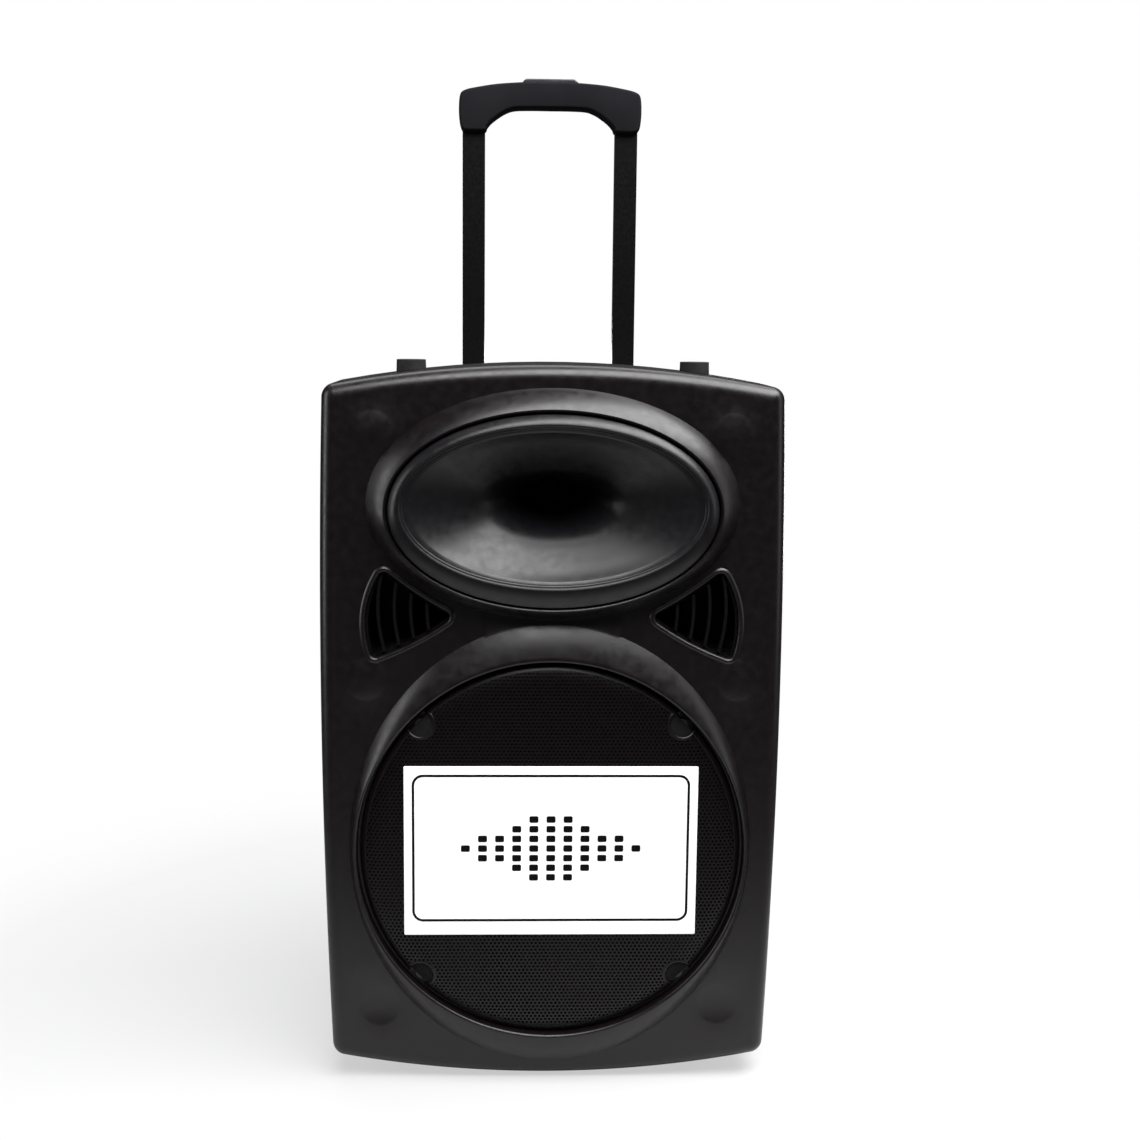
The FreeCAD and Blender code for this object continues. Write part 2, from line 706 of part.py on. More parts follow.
def make_woofer():
    basket = turned("woofer_basket", [
        (166, 0), (dims.woofer_frame_radius, 0), (dims.woofer_frame_radius, 5), (176, 5),
        (172, 12), (84, BASKET_DEPTH), (84, BASKET_DEPTH + 8), (44, BASKET_DEPTH + 8),
        (44, BASKET_DEPTH + 4), (79, BASKET_DEPTH + 4), (79, BASKET_DEPTH - 4), (166, 10)],
        WOOFER_BEHIND, BACKWARD)
    doc.recompute()
    window = pocketed(basket, lambda sketch: draw_outline(
        sketch, [(92, -14), (160, -38), (160, 38), (92, 14)]), 80, offset=14, name="window",
        reverse=True)
    around(basket, window, 8)
    hole = pocketed(basket, lambda sketch: draw_circle(
        sketch, 2.6, WOOFER_BOLT_CIRCLE * math.cos(math.pi / WOOFER_BOLTS),
        WOOFER_BOLT_CIRCLE * math.sin(math.pi / WOOFER_BOLTS)), 20,
        offset=-5, name="bolt_hole", reverse=True)
    around(basket, hole, WOOFER_BOLTS)

    back = BASKET_DEPTH + 8
    magnet = turned("woofer_magnet", [(44, back), (78, back), (78, back + 24), (44, back + 24)],
                    WOOFER_BEHIND, BACKWARD)
    turned("woofer_pole_piece", [
        (0, back - 4), (35, back - 4), (35, back + 24.1), (70, back + 24.1), (70, back + 34),
        (12, back + 34), (12, back + 20), (0, back + 20)], WOOFER_BEHIND, BACKWARD)
    turned("woofer_cone", [(CONE_OUTER, 0), (CONE_OUTER - 3, 0), (CONE_INNER, 60),
                           (CONE_INNER, 61.5), (CONE_OUTER - 2, 1.5), (CONE_OUTER, 1.5)],
           WOOFER_BEHIND, BACKWARD)
    turned("dust_cap", [(0, 34), (24, 36.5), (44, 43), (56, 48.8), (56, 49.4), (55, 50),
                        (42, 45), (22, 38.5), (0, 36)], WOOFER_BEHIND, BACKWARD)
    former, winding = COIL_RADIUS + 0.3, COIL_RADIUS + 1.5
    turned("voice_coil", [(COIL_RADIUS - 0.8, 58), (former, 58), (former, back - 2),
                          (winding, back - 2), (winding, back + 12),
                          (COIL_RADIUS - 0.8, back + 12)], WOOFER_BEHIND, BACKWARD)
    turned("woofer_surround", [(CONE_OUTER + 0.3, 1.4), (CONE_OUTER + 0.3, 0.4), (152, -1), (156, -5),
                               (160, -5), (164, -1), (165.5, 0.4), (165.5, 1.4)],
           WOOFER_BEHIND, BACKWARD)
    turned("woofer_spider", [(COIL_RADIUS + 0.8, 80), (50, 78), (58, 81), (66, 78), (78.7, 80),
                             (78.7, 81), (66, 79), (58, 82), (50, 79), (COIL_RADIUS + 0.8, 81)],
           WOOFER_BEHIND, BACKWARD)
    shaped("woofer_screws", Part.makeCompound([
        screw((x, woofer_seat + 5.1, z), (0, -1, 0), 4.2, 3, 2.3, 9.0) for x, z in WOOFER_SCREWS]))


def make_grille():
    """Steel grille: flat face, rolled edge and four notches that take the screws."""
    rise, sheet_t, radius = float(dims.grille_rise), float(dims.grille_sheet), float(dims.grille_radius)
    level, face_y = float(dims.woofer_level), float(front)

    def dome(inset):
        """The grille's outer form, or with an inset the room behind its sheet."""
        flat_y, rolled_y, back_y = face_y - rise + inset, face_y - 1.5, face_y - 0.3 + inset
        flat_end, rim = radius - 24, radius - inset
        middle = Vector(radius - 8 - 0.7 * inset, flat_y + 0.35 * (rise - 2), 0)
        rolled = Part.Arc(Vector(flat_end, flat_y, 0), middle, Vector(rim, rolled_y, 0)).toShape()
        path = [Vector(rim, rolled_y, 0), Vector(rim, back_y, 0), Vector(0, back_y, 0),
                Vector(0, flat_y, 0), Vector(flat_end, flat_y, 0)]
        straight = [Part.makeLine(start, end) for start, end in zip(path, path[1:])]
        solid = Part.Face(Part.Wire([rolled] + straight)).revolve(Vector(), Vector(0, 1, 0), 360)
        solid.translate(Vector(0, 0, level))
        return solid

    grille = dome(0).cut(dome(sheet_t))
    for x, z in GRILLE_SCREWS:
        notch = float(dims.grille_notch_radius)
        well = rod(notch, (x, face_y - 30, z), (x, face_y - 0.3, z)).common(dome(0))
        pit = rod(notch - sheet_t, (x, face_y - 30, z), (x, face_y - 1.5, z))
        grille = grille.fuse(well).cut(pit)
        grille = grille.cut(rod(2.3, (x, face_y - 30, z), (x, face_y + 5, z)))
    return shaped("woofer_grille", grille)


def make_badge():
    half_x, half_z = dims.badge_width / 2, dims.badge_height / 2
    body = new_body("badge_plate")
    padded(body, lambda sketch: draw_rectangle(sketch, half_x, half_z), dims.badge_thickness)
    place(body, (0, grille_face - 0.05, dims.badge_level), FORWARD)
    doc.recompute()
    return keep(body)


make_woofer()
make_grille()
shaped("grille_screws", Part.makeCompound([
    screw((x, front - 1.6, z), (0, 1, 0), 5.2, 3.2, 1.85, 5.5) for x, z in GRILLE_SCREWS]))
make_badge()


# ---------------------------------------------------------------- horn, vents, crossover

FLARE = ((0.07, 0.87, 0.88), (0.13, 0.74, 0.747), (0.22, 0.56, 0.547), (0.28, 0.46, 0.43),
         (0.36, 0.37, 0.345), (0.50, 0.26, 0.28), (0.75, 0.15, 0.215))
HORN_WALL = 4


def make_horn():
    """Flared horn with a raised lip that drops into the baffle's oval seat."""
    mouth_y = float(forward(dims.horn_height))
    throat = float(dims.horn_throat_radius)
    half_x, half_z = float(dims.horn_mouth_half_width), float(dims.horn_mouth_half_height)
    middle, depth = float(dims.horn_level), float(dims.horn_depth)
    inner = [(half_x, half_z, middle, mouth_y - 0.01)]
    outer = []
    for along, share_x, share_z in FLARE:
        y = mouth_y + along * depth
        inner.append((half_x * share_x, half_z * share_z, middle, y))
        outer.append((half_x * share_x + HORN_WALL, half_z * share_z + HORN_WALL, middle, y))
    inner.append((throat, throat, middle, mouth_y + depth + 0.01))
    outer.append((throat + HORN_WALL, throat + HORN_WALL, middle, mouth_y + depth))
    lip_x, lip_z = float(dims.horn_seat_half_width) - 1.6, float(dims.horn_seat_half_height) - 1.6
    shoulder = front - dims.horn_collar_rise + 1
    rim = oval_bore(lip_x, lip_z, dims.horn_seat_level, front - COLLAR_FLOOR - dims.gap, shoulder)
    lip = oval_loft([(lip_x, lip_z, dims.horn_seat_level, shoulder),
                     (half_x + 6, half_z + 6, middle - 1, mouth_y + 1.2),
                     (half_x + 1, half_z + 1, middle, mouth_y)])
    flange = rod(34, (0, mouth_y + depth, middle), (0, mouth_y + depth + 8, middle))
    horn = rim.fuse([lip, oval_loft(outer), flange])
    bore = rod(throat, (0, mouth_y + depth - 1, middle), (0, mouth_y + depth + 20, middle))
    return shaped("horn_flare", horn.cut([oval_loft(inner), bore]))


def make_driver():
    """Compression driver: throat plate, magnet cover and rear cap."""
    throat = dims.horn_throat_radius
    position = (0, forward(dims.horn_height) + dims.horn_depth + 8.1, dims.horn_level)
    turned("compression_driver", [
        (throat, 0), (34, 0), (34, 6), (49, 6), (49, 42), (40, 46), (40, 60), (36, 63), (0, 63),
        (0, 20), (throat, 20)], position, BACKWARD)


LOUVRES = 4


def make_louvre(side):
    """Vent insert: a thin frame behind the vent with four curved ribs."""
    start = float(front) + BAFFLE_THICKNESS + float(dims.gap)
    frame = vent_prism(side, start, start + 3, -7).cut(vent_prism(side, start - 1, start + 5, 2))
    ribs = []
    for step in range(LOUVRES):
        radius, centre = 150.0, 171.0 - 16.0 * step - 150.0
        ring = rod(radius + 1.5, (side * centre, start - 4.5, 492), (side * centre, start + 3, 492))
        core = rod(radius - 1.5, (side * centre, start - 5, 492), (side * centre, start + 4, 492))
        ribs.append(ring.cut(core))
    window = vent_prism(side, start - 4.5, start, 2.5).fuse(vent_prism(side, start, start + 3, -1))
    bars = [rib.common(window) for rib in ribs]
    return shaped(f"vent_louvre_{'left' if side < 0 else 'right'}", frame.fuse(bars))


def make_duct(side):
    """Bass port duct behind the vent."""
    start = float(front) + BAFFLE_THICKNESS + 3 + 2 * float(dims.gap)
    duct = vent_prism(side, start, start + 90, -7).cut(vent_prism(side, start - 1, start + 91, -4))
    return shaped(f"port_duct_{'left' if side < 0 else 'right'}", duct)


def make_crossover():
    board = box("crossover_base", (-188, -30, 250), (-186.4, 40, 350))
    coil = cylinder("crossover_coil", 17, 20, (-186.5, 5, 275), RIGHTWARD)
    cans = [cylinder(f"crossover_capacitor_{i}", 7, 30, (-179.5, -20 + 22 * i, 305))
            for i in range(2)]
    keep(joined("crossover_board", [board, coil] + cans))


make_horn()
make_driver()
for _, side in SIDES:
    make_louvre(side)
    make_duct(side)
make_crossover()


# ---------------------------------------------------------------- pull-up handle

SPRING_RADIUS, SPRING_OFFSET, SPRING_SEAT = 4, 20, 2.8
cavity_floor = dims.grip_top - 25.2


def make_grip():
    """Arched grip: a padded front view, rounded, with sockets and a slot for the button."""
    half, low, high = dims.grip_half_width, dims.grip_bottom, dims.grip_top
    outline = [(-half, low), (-half, high - 14), (-half + 4, high - 8), (-32, high),
               (32, high), (half - 4, high - 8), (half, high - 14), (half, low),
               (half - 33, low), (half - 33, low + 7), (half - 40, low + 16), (half - 52, low + 22),
               (half - 64, low + 25), (-half + 64, low + 25), (-half + 52, low + 22),
               (-half + 40, low + 16), (-half + 33, low + 7), (-half + 33, low)]
    body = new_body("handle_grip")
    pad = padded(body, lambda sketch: draw_outline(sketch, outline), dims.grip_thickness,
                 offset=-dims.grip_thickness / 2, role="XZ_Plane")
    round_body_edges(body, pad, 7, lambda edge: not is_along_depth(edge)
                     and min(v.Z for v in edge.Vertexes) > float(low) + 1)
    socket_x, socket_y = dims.tube_width / 2 + 0.1, dims.tube_thickness / 2 + 0.1
    for side_name, side in SIDES:
        pocketed(body, lambda sketch: draw_rectangle(
            sketch, socket_x, socket_y, side * dims.tube_half_spacing), 18.2,
            offset=low, name=f"socket_{side_name}", reverse=True)
    pocketed(body, lambda sketch: draw_rectangle(sketch, dims.tube_half_spacing + 6, 5), 10.2,
             offset=cavity_floor, name="cavity", reverse=True)
    for side_name, side in SIDES:
        pocketed(body, lambda sketch: draw_circle(sketch, 3.6, side * dims.tube_half_spacing),
                 cavity_floor - low - 17, offset=low + 17.8, name=f"rod_hole_{side_name}",
                 reverse=True)
        pocketed(body, lambda sketch: draw_circle(sketch, SPRING_RADIUS + 0.4,
                                                  side * SPRING_OFFSET), SPRING_SEAT + 0.5,
                 offset=cavity_floor - SPRING_SEAT, name=f"spring_seat_{side_name}",
                 reverse=True)
    pocketed(body, lambda sketch: draw_rectangle(sketch, dims.button_half_width + 0.3, 7.3), 22,
             offset=high + 2, name="button_slot")
    place(body, (0, dims.tube_level, 0))
    return keep(body)


def round_body_edges(body, feature, radius, wanted):
    names = [f"Edge{i + 1}" for i, edge in enumerate(feature.Shape.Edges) if wanted(edge)]
    fillet = body.newObject("PartDesign::Fillet", f"{body.Name}_rounding")
    fillet.Base = (feature, names)
    bind(fillet, Radius=radius)
    body.Tip = fillet
    doc.recompute()
    return fillet


def make_handle_tube(side_name, side):
    """Inner tube with a solid foot that guides the lock pin."""
    name = f"handle_tube_{side_name}"
    body = new_body(name)
    half_x, half_y = dims.tube_width / 2, dims.tube_thickness / 2
    length = dims.grip_bottom + 18 - dims.tube_bottom
    padded(body, lambda sketch: draw_rectangle(sketch, half_x, half_y), length)
    pocketed(body, lambda sketch: draw_rectangle(sketch, half_x - dims.tube_wall,
                                                 half_y - dims.tube_wall),
             length - 26, offset=length, name="hollow")
    pin = dims.pin_level - dims.tube_bottom
    pocketed(body, lambda sketch: draw_circle(sketch, 3.2, 0, pin), 17, role="YZ_Plane",
             offset=-3.5 if side > 0 else 3.5, name="pin_hole", reverse=side > 0)
    pocketed(body, lambda sketch: draw_circle(sketch, 2.8), 15, offset=27, name="rod_hole")
    place(body, (side * dims.tube_half_spacing, dims.tube_level, dims.tube_bottom))
    return keep(body)


def make_guide_tube(side_name, side):
    """Outer tube, closed at the bottom, with the long slot that the lock pin rides in."""
    body = new_body(f"guide_tube_{side_name}")
    half_x, half_y = dims.guide_width / 2, dims.guide_thickness / 2
    top = dims.recess_floor + 3
    length = top - dims.guide_bottom
    padded(body, lambda sketch: draw_rectangle(sketch, half_x, half_y), length)
    pocketed(body, lambda sketch: draw_rectangle(sketch, half_x - 1.7, half_y - 1.7),
             length - 5, offset=length, name="hollow")
    low, high = 20, dims.pin_level - dims.guide_bottom + 5
    slot = [(-4, low), (4, low), (4, high), (-4, high)]
    pocketed(body, lambda sketch: draw_outline(sketch, slot), 8, role="YZ_Plane",
             offset=side * 10, name="pin_slot", reverse=side > 0)
    place(body, (side * dims.tube_half_spacing, dims.tube_level, dims.guide_bottom))
    return keep(body)


def make_release():
    """Release button in the grip, its two rods and the lock pins they draw in."""
    button = new_body("release_button")
    half = dims.button_half_width
    padded(button, lambda sketch: draw_outline(
        sketch, [(-half, 0), (half, 0), (half, 16.5), (half - 4, 19.5), (-half + 4, 19.5),
                 (-half, 16.5)]), 14, offset=-7, role="XZ_Plane")
    place(button, (0, dims.tube_level, dims.grip_top - 15.5))
    keep(button)
    top = dims.grip_top - 15.7
    spacing, level = dims.tube_half_spacing, dims.tube_level
    bar = box("release_bar", (-spacing - 3, level - 3, top - 5), (spacing + 3, level + 3, top))
    rods = [cylinder(f"release_rod_{name}", 2.4, top - 4 - (dims.pin_level + 8),
                     (side * spacing, level, dims.pin_level + 8)) for name, side in SIDES]
    keep(joined("release_rods", [bar] + rods))
    spring_floor = cavity_floor - SPRING_SEAT + 0.1
    spring_length = top - 5.1 - spring_floor
    sleeves = []
    for side_name, side in SIDES:
        base = (side * SPRING_OFFSET, level, spring_floor)
        coil = cylinder(f"spring_coil_{side_name}", SPRING_RADIUS, spring_length, base)
        bore = cylinder(f"spring_bore_{side_name}", SPRING_RADIUS - 0.8, spring_length, base)
        sleeves.append(cut(f"spring_sleeve_{side_name}", coil, [bore]))
    keep(joined("release_spring", sleeves))
    for side_name, side in SIDES:
        pin = doc.addObject("Part::Cylinder", f"lock_pin_{side_name}")
        bind(pin, Radius=3, Height=14.5)
        pin.Label = f"lock_pin_{side_name}"
        place(pin, (side * (spacing + 0.6), level, dims.pin_level),
              RIGHTWARD if side > 0 else LEFTWARD)
        keep(pin)


make_grip()
for side_name, side in SIDES:
    make_handle_tube(side_name, side)
    make_guide_tube(side_name, side)
make_release()


# ---------------------------------------------------------------- wheels and stand socket

def make_wheel(side_name, side):
    half, running = dims.wheel_width / 2, 0.06
    position = (side * dims.wheel_offset, wheel_depth, wheel_level)
    hub = turned(f"wheel_hub_{side_name}", [
        (dims.axle_radius + running, -half + 1), (11, -half + 1), (11, -4), (26, -4),
        (26, -half + 4), (33, -half + 4), (33, half - 4), (26, half - 4), (26, 0),
        (11, 0), (11, half - 1), (dims.axle_radius + running, half - 1)],
        position, RIGHTWARD if side > 0 else LEFTWARD)
    doc.recompute()
    window = pocketed(hub, lambda sketch: draw_outline(
        sketch, [(14, -3), (23, -5.5), (23, 5.5), (14, 3)]), 20, offset=8, name="window")
    around(hub, window, 5)
    turned(f"wheel_tyre_{side_name}", [
        (33, -half + 4), (36, -half), (dims.wheel_radius - 4, -half), (dims.wheel_radius, -half + 4),
        (dims.wheel_radius, half - 4), (dims.wheel_radius - 4, half), (36, half), (33, half - 4)],
        position, RIGHTWARD if side > 0 else LEFTWARD)


def make_axle():
    reach = dims.wheel_offset + dims.wheel_width / 2 + 3
    axle = cylinder("axle_rod", dims.axle_radius, reach * 2, (-reach, wheel_depth, wheel_level),
                    RIGHTWARD)
    caps = [cylinder(f"axle_cap_{name}", 8, 3, (side * reach, wheel_depth, wheel_level),
                     RIGHTWARD if side > 0 else LEFTWARD) for name, side in SIDES]
    keep(joined("wheel_axle", [axle] + caps))


def make_pole_socket():
    radius, depth = dims.pole_radius, dims.pole_depth
    turned("pole_socket", [
        (radius, 0), (radius + 3, 0), (radius + 3, 5.8), (27, 5.8), (27, 8.3), (radius + 3, 8.3),
        (radius + 3, depth + 3), (0, depth + 3), (0, depth), (radius, depth)], (0, -20, 7.5))


for side_name, side in SIDES:
    make_wheel(side_name, side)
make_axle()
make_pole_socket()


# ---------------------------------------------------------------- amplifier

KNOBS = ("volume", "bass", "treble", "echo")
KEYS = ("back", "play", "next")


def make_panel():
    """Rear panel: a plate with the openings for every control and connector."""
    middle = (dims.panel_low + dims.panel_high) / 2
    body = new_body("amp_panel")
    padded(body, lambda sketch: draw_rectangle(sketch, dims.panel_half_width,
                                               (dims.panel_high - dims.panel_low) / 2),
           dims.panel_thickness)

    def opening(name, draw):
        pocketed(body, draw, 8, offset=-2, name=name, reverse=True)

    def all_knobs(sketch):
        for i in range(len(KNOBS)):
            draw_circle(sketch, 3.6, (i - 1.5) * dims.knob_pitch, dims.knob_level - middle)

    def all_jacks(sketch):
        for i in range(3):
            draw_circle(sketch, 6.2, (i - 1) * dims.jack_pitch, dims.jack_level - middle)

    def all_screws(sketch):
        for x, z in PANEL_SCREWS:
            draw_circle(sketch, 2.0, x, z - middle)

    def all_keys(sketch):
        for i in range(len(KEYS)):
            draw_circle(sketch, 6.3, (i - 1) * dims.key_pitch, dims.media_key_level - middle)

    opening("knob_holes", all_knobs)
    opening("jack_holes", all_jacks)
    opening("screw_holes", all_screws)
    opening("key_holes", all_keys)
    opening("media_window", lambda sketch: draw_rectangle(sketch, 45.3, 18.3, 0,
                                                          dims.media_level - middle))
    opening("mains_hole", lambda sketch: draw_rectangle(sketch, 24.3, 14.3, 30,
                                                        dims.mains_level - middle))
    opening("switch_hole", lambda sketch: draw_rectangle(sketch, 10.5, 14.5, -40,
                                                         dims.mains_level - middle))
    place(body, (0, panel_back, middle), BACKWARD_UPRIGHT)
    return keep(body)


def make_controls():
    for i, name in enumerate(KNOBS):
        radius, height = dims.knob_radius, dims.knob_height
        knob = turned(f"knob_{name}", [
            (0, -8), (3, -8), (3, 0), (3, 3.1), (radius, 3.1), (radius, height - 2),
            (radius - 2, height), (0, height)],
            ((1.5 - i) * dims.knob_pitch, panel_back, dims.knob_level), BACKWARD)
        doc.recompute()
        pocketed(knob, lambda sketch: draw_rectangle(sketch, 0.7, 4, 0, radius - 3.5), 1,
                 offset=height, name="pointer")
    for i, name in enumerate(KEYS):
        turned(f"key_{name}", [(0, -4), (6, -4), (6, 4.6), (5, 5.6), (0, 5.6)],
               ((1 - i) * dims.key_pitch, panel_back, dims.media_key_level), BACKWARD)
    rocker = new_body("power_rocker")
    padded(rocker, lambda sketch: draw_outline(
        sketch, [(-5.5, -11), (2.5, -13), (5.2, -12.4), (3.4, 0), (5.2, 12.4), (2.5, 13),
                 (-5.5, 11)]), 18, offset=-9, role="YZ_Plane")
    padded(rocker, lambda sketch: draw_circle(sketch, 1.5), 20.4, offset=-10.2,
           role="YZ_Plane", name="pivot_pin")
    place(rocker, (40, panel_back, dims.mains_level), FreeCAD.Rotation(Vector(1, 0, 0), -12))
    keep(rocker)


def make_connectors():
    jacks = []
    for i in range(3):
        x = float((i - 1) * dims.jack_pitch)
        y, z = float(panel_back), float(dims.jack_level)
        body = block((x - 9, y - 28, z - 9), (x + 9, y - 1, z + 9))
        nose = rod(6, (x, y - 2, z), (x, y + 5.5, z))
        nut = rod(8, (x, float(panel_face) + 0.05, z), (x, float(panel_face) + 2.5, z))
        bore = rod(dims.jack_radius, (x, y - 22, z), (x, y + 9, z))
        jacks.append(body.fuse([nose, nut]).cut(bore))
    shaped("input_jacks", Part.makeCompound(jacks))
    x, y, z = -30, float(panel_back), float(dims.mains_level)
    inlet = block((x - 24, y - 24, z - 14), (x + 24, y, z + 14))
    inlet = inlet.fuse(block((x - 24, y, z - 14), (x + 24, y + 2.6, z + 14)))
    inlet = inlet.fuse(block((x - 27, y + 2.6, z - 17), (x + 27, y + 4.6, z + 17)))
    inlet = inlet.cut(block((x - 12.2, y - 16, z - 8.2), (x + 12.2, y + 9, z + 8.2)))
    blades = [block((x + dx - 1, y - 20, z + dz - 2), (x + dx + 1, y - 2, z + dz + 2))
              for dx, dz in ((-7, -2), (7, -2), (0, 2.5))]
    shaped("mains_inlet", inlet.fuse(blades))
    z = float(dims.media_level)
    media = block((-45, y - 14, z - 18), (45, y + 3.5, z + 18))
    media = media.fuse(block((-48, y + 2.6, z - 21), (48, y + 4.5, z + 21)))
    window = block((-38, y + 3.4, z - 2), (18, y + 9, z + 14))
    usb_slot = block((25, y - 8, z + 4), (37.5, y + 9, z + 9))
    card_slot = block((22, y - 8, z - 8), (40, y + 9, z - 5.5))
    shaped("media_module", media.cut([window, usb_slot, card_slot]))


def make_electronics():
    y = panel_back
    board = box("board_base", (-62, y - 44, 245), (62, y - 42.4, 470))
    low = box("board_transformer", (-30, y - 42.5, 265), (10, y - 17, 300))
    tall = [cylinder(f"board_capacitor_{i}", 9, 24, (-40 + 26 * i, y - 42.5, 335), BACKWARD)
            for i in range(3)]
    keep(joined("amp_board", [board, low] + tall))
    base = box("sink_base", (-62, panel_face + 0.05, 255), (62, panel_face + 3, 335))
    fins = [box(f"sink_fin_{i}", (-60 + 12.8 * i, panel_face + 2.9, 255),
                (-57.5 + 12.8 * i, panel_face + 12.5, 335)) for i in range(10)]
    keep(joined("heat_sink", [base] + fins))
    battery = box("battery_case", (-75.5, 30, 33), (75.5, 95, 127))
    posts = [box(f"battery_post_{i}", (-66 + 120 * i, 50, 127), (-54 + 120 * i, 58, 133))
             for i in range(2)]
    keep(joined("battery", [battery] + posts))
    tray = box("tray_outer", (-79, 26, 18), (79, 98.5, 70))
    inside = box("tray_inside", (-75.8, 29.7, 32.7), (75.8, 95.3, 90))
    keep(cut("battery_tray", tray, [inside]))
    shaped("panel_screws", Part.makeCompound([
        screw((x, panel_face + 0.05, z), (0, -1, 0), 3.4, 2.2, 1.65, 10)
        for x, z in PANEL_SCREWS]))


make_panel()
make_controls()
make_connectors()
make_electronics()


# ---------------------------------------------------------------- write the parts

def write_parts():
    doc.recompute()
    failed = [item.Label for item in doc.Objects if {"Invalid", "Error"} & set(item.State)]
    bad = [piece.Label for piece in NODES if piece.Shape.isNull() or not piece.Shape.isValid()]
    if failed or bad:
        raise RuntimeError(f"failed objects {failed}, bad shapes {bad}")
    os.makedirs("parts", exist_ok=True)
    for piece in NODES:
        piece.Shape.exportStep(f"parts/{piece.Label}.step")
        bounds = piece.Shape.optimalBoundingBox(False)
        print(f"{piece.Label:22s} {piece.Shape.Volume / 1000:9.1f} cm3  "
              f"x {bounds.XMin:7.1f} {bounds.XMax:7.1f}  y {bounds.YMin:7.1f} {bounds.YMax:7.1f}  "
              f"z {bounds.ZMin:7.1f} {bounds.ZMax:7.1f}  solids {len(piece.Shape.Solids)}")


write_parts()
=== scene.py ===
"""Looks of the party speaker: its visible pieces, their materials, the studio and the camera.

Shapes below are worked out in millimetres in the CAD frame (front faces -Y, +Z up) and are
scaled to metres when a piece is made.
"""

import json
import math

import bmesh
import bpy
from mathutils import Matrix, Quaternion, Vector
from mathutils.geometry import delaunay_2d_cdt


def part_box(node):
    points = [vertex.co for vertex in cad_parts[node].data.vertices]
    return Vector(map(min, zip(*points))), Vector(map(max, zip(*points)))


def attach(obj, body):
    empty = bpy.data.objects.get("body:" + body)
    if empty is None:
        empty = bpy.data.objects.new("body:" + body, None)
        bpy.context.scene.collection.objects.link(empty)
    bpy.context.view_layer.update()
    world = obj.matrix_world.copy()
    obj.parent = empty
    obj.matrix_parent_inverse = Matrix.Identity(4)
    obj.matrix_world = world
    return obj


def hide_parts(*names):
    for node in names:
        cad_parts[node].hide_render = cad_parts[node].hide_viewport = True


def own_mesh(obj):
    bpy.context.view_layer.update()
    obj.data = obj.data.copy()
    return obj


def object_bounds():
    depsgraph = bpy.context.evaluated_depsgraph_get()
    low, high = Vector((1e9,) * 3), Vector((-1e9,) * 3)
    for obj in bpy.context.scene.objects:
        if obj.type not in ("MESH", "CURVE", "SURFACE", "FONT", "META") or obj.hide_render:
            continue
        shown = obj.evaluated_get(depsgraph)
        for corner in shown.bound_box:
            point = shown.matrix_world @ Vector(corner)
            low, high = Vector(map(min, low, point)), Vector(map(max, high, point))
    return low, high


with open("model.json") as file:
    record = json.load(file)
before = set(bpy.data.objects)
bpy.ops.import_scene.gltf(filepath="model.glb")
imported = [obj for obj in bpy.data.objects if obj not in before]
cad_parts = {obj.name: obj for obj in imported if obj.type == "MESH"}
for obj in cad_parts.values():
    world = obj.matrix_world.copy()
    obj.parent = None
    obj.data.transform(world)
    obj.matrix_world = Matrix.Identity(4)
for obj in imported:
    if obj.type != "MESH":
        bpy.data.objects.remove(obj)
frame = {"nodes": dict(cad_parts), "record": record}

MM = 0.001
CAD_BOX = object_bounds()
SLOTS = {row["node"]: row["material_slot"] for row in frame["record"]["subparts"]}
BODIES = {node: body for body, nodes in frame["record"]["behaviour"]["bodies"].items()
          for node in nodes}


def low_mm(node):
    """Low corner of a CAD node's box in millimetres; high_mm gives the other corner."""
    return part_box(node)[0] / MM


def high_mm(node):
    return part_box(node)[1] / MM


def middle_mm(node):
    return (low_mm(node) + high_mm(node)) / 2


def box_mm(node):
    """Low corner, high corner and middle of a CAD node's box in millimetres."""
    return low_mm(node), high_mm(node), middle_mm(node)


# ---------------------------------------------------------------- places read from the frame

HORN_PROUD = 28
BAFFLE_DEPTH = 45
FRONT = low_mm("horn_flare").y + HORN_PROUD
SEAM = FRONT + BAFFLE_DEPTH
WOOFER_LEVEL = middle_mm("woofer_grille").z
GRILLE_RADIUS = high_mm("woofer_grille").x
HORN_SEAT_LEVEL = WOOFER_LEVEL + 342.5
HORN_LEVEL = WOOFER_LEVEL + 347


# ---------------------------------------------------------------- materials

